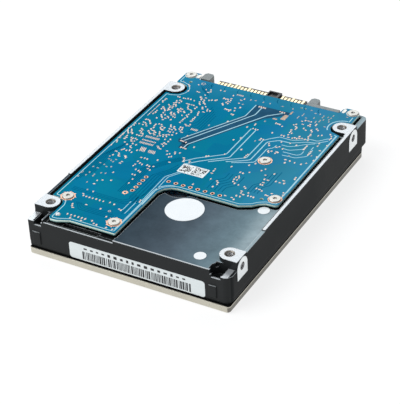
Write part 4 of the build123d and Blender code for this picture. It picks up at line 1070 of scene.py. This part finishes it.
def serial_label_print():
    """Bars on the front label, and a row of plain dashes and squares above them."""
    (left, face_y, bottom), (right, _, _) = box_mm("serial_label")
    bars = Solids()
    x = left + 4.6
    while x < right - 4.6:
        width = chance.choice((0.24, 0.24, 0.40, 0.56))
        bars.front_block(x, x + width, bottom + 0.45, bottom + 3.35, face_y)
        x += width + chance.choice((0.22, 0.22, 0.40))
    bars.make("serial_label_bars", "printed_ink_grey", "label_paper")
    marks = Solids()
    middle = bottom + 4.42
    x = left + 5.2
    while x < right - 6.0:
        width = chance.choice((0.75, 0.95, 0.95, 1.15))
        height = chance.choice((0.55, 0.80, 1.00))
        marks.front_block(x, x + width, middle - height / 2, middle + height / 2, face_y)
        x += width + 1.15
    marks.make("serial_label_marks", "printed_ink", "label_paper")


def board_label_print():
    """Two fields of random square cells with a blank gap between them."""
    margin, cell = 0.35, 0.30
    inked = cell * 0.96
    low, high = box_mm("board_label")
    left, right = low[0] + margin, high[0] - margin
    front, rear = low[1] + margin, high[1] - margin
    cells = Solids()
    for i in range(int((right - left) / cell)):
        for j in range(int((rear - front) / cell)):
            in_gap = 12 <= i <= 13
            if not in_gap and chance.random() < (0.52 if i < 12 else 0.44):
                x, y = left + cell * i, front + cell * j
                square = [(x, y), (x + inked, y), (x + inked, y + inked), (x, y + inked)]
                cells.prism(square, high[2], high[2] + 0.010)
    cells.make("board_label_marks", "printed_ink", "label_paper")


# ------------------------------------------------------------------ threads in the bores

THREAD_RADIUS = 1.25
THREAD_RIDGE = 0.11
THREAD_PITCH = 0.5
THREAD_HALF_WIDTH = 0.2
STEPS_PER_TURN = 26


def thread(name, start, end, place):
    """Helical ridge on a bore wall; place turns (depth, across, along) into x, y, z."""
    helix = Solids()
    turns = (end - start) / THREAD_PITCH
    steps = int(turns * STEPS_PER_TURN)
    for i in range(steps + 1):
        t = i / steps
        angle = 2 * math.pi * turns * t
        depth = start + (end - start) * t
        fade = min(1, t * 12, (1 - t) * 12)
        # the small extra keeps the section open where the ridge has faded out
        crest = THREAD_RADIUS - THREAD_RIDGE * fade - 0.001
        for radius, shift in ((THREAD_RADIUS, -THREAD_HALF_WIDTH), (crest, 0.0),
                              (THREAD_RADIUS, THREAD_HALF_WIDTH)):
            helix.vertices.append(place(depth + shift, radius * math.cos(angle),
                                        radius * math.sin(angle)))
    for i in range(steps):
        a, b = 3 * i, 3 * (i + 1)
        for j in range(3):
            k = (j + 1) % 3
            helix.faces.append((a + j, b + j, b + k, a + k))
    last = 3 * steps
    helix.faces.append((0, 1, 2))
    helix.faces.append((last + 2, last + 1, last))
    helix.make(name, "ground_steel", "bare_aluminium")


def bore_threads():
    corners = [(side, bore_y) for bore_y in BORE_Y for side in (-1, 1)]
    for number, (side, bore_y) in enumerate(corners, start=1):
        thread(f"bottom_thread_{number}", 12.1, 14.5,
               lambda depth, across, along: (side * BORE_X + across, bore_y + along, depth))
        start, end = sorted((side * 32.6, side * 34.6))
        thread(f"side_thread_{number}", start, end,
               lambda depth, across, along: (depth, bore_y + across, SIDE_BORE_Z + along))


guard_track()
board_tracks()
dark_band()
board_pads()
copper_blocks()
rings_and_holes()
serial_label_print()
board_label_print()
bore_threads()


# ------------------------------------------------------------------ studio, in metres

FLOOR_HALF = 4.0
LAMP_TARGET = Vector((0, 0, 0.01))
LAMPS = (
    dict(name="key", size=(0.8, 0.8), power=7.5, place=(-0.50, -0.42, 0.80)),
    dict(name="back_card", size=(0.9, 0.5), power=3.4, place=(-0.42, 0.70, 0.62)),
)
CAMERA_AZIMUTH = math.radians(30.74)  # from the front towards the right
CAMERA_ELEVATION = math.radians(34.10)
CAMERA_ROLL = math.radians(-2.93)
CAMERA_DISTANCE = 0.47552
CAMERA_TARGET = Vector((0.00494, -0.01172, 0.0075))


def add_floor():
    """Pale floor that glows a little, so that it stays even."""
    mesh = bpy.data.meshes.new("floor")
    corners = [(-1, -1), (1, -1), (1, 1), (-1, 1)]
    mesh.from_pydata([(x * FLOOR_HALF, y * FLOOR_HALF, 0) for x, y in corners], [],
                     [(0, 1, 2, 3)])
    floor = bpy.data.objects.new("floor", mesh)
    bpy.context.scene.collection.objects.link(floor)
    shader, principled, _ = finish("pale_floor", colour=(0.24, 0.24, 0.24), rough=0.8,
                                   spread=0.004, grain=8, bump=0.0, specular=0.1)
    shader.feed(principled.inputs["Emission Color"], (1, 1, 1))
    shader.feed(principled.inputs["Emission Strength"], 0.775)
    floor.data.materials.append(shader.material)


def add_world():
    world = bpy.data.worlds.new("studio")
    bpy.context.scene.world = world
    world.use_nodes = True
    background = world.node_tree.nodes["Background"]
    background.inputs["Color"].default_value = (0.93, 0.96, 1.0, 1)
    background.inputs["Strength"].default_value = 0.52


def add_lamp(name, size, power, place):
    light = bpy.data.lights.new(name, "AREA")
    light.shape = "RECTANGLE"
    light.size, light.size_y = size
    light.energy = power
    lamp = bpy.data.objects.new(name, light)
    bpy.context.scene.collection.objects.link(lamp)
    lamp.location = place
    lamp.rotation_euler = (LAMP_TARGET - Vector(place)).to_track_quat("-Z", "Y").to_euler()


def add_camera():
    """Camera above the front right, with a long lens."""
    back = Vector((math.sin(CAMERA_AZIMUTH) * math.cos(CAMERA_ELEVATION),
                   -math.cos(CAMERA_AZIMUTH) * math.cos(CAMERA_ELEVATION),
                   math.sin(CAMERA_ELEVATION)))
    right = Vector((0, 0, 1)).cross(back).normalized()
    up = back.cross(right)
    cosine, sine = math.cos(CAMERA_ROLL), math.sin(CAMERA_ROLL)
    turn = Matrix((cosine * right + sine * up, -sine * right + cosine * up, back)).transposed()
    lens = bpy.data.cameras.new("camera")
    camera = bpy.data.objects.new("camera", lens)
    bpy.context.scene.collection.objects.link(camera)
    place = CAMERA_TARGET + back * CAMERA_DISTANCE
    camera.matrix_world = Matrix.Translation(place) @ turn.to_4x4()
    lens.sensor_fit = "AUTO"
    lens.sensor_width = 36.0
    lens.lens = 136.630693
    lens.shift_x = -0.00103960396
    lens.shift_y = 0.00160891089
    lens.clip_start = 0.01
    lens.clip_end = 20
    bpy.context.scene.camera = camera


add_floor()
add_world()
for lamp in LAMPS:
    add_lamp(**lamp)
add_camera()
bpy.context.scene.view_settings.view_transform = "Standard"
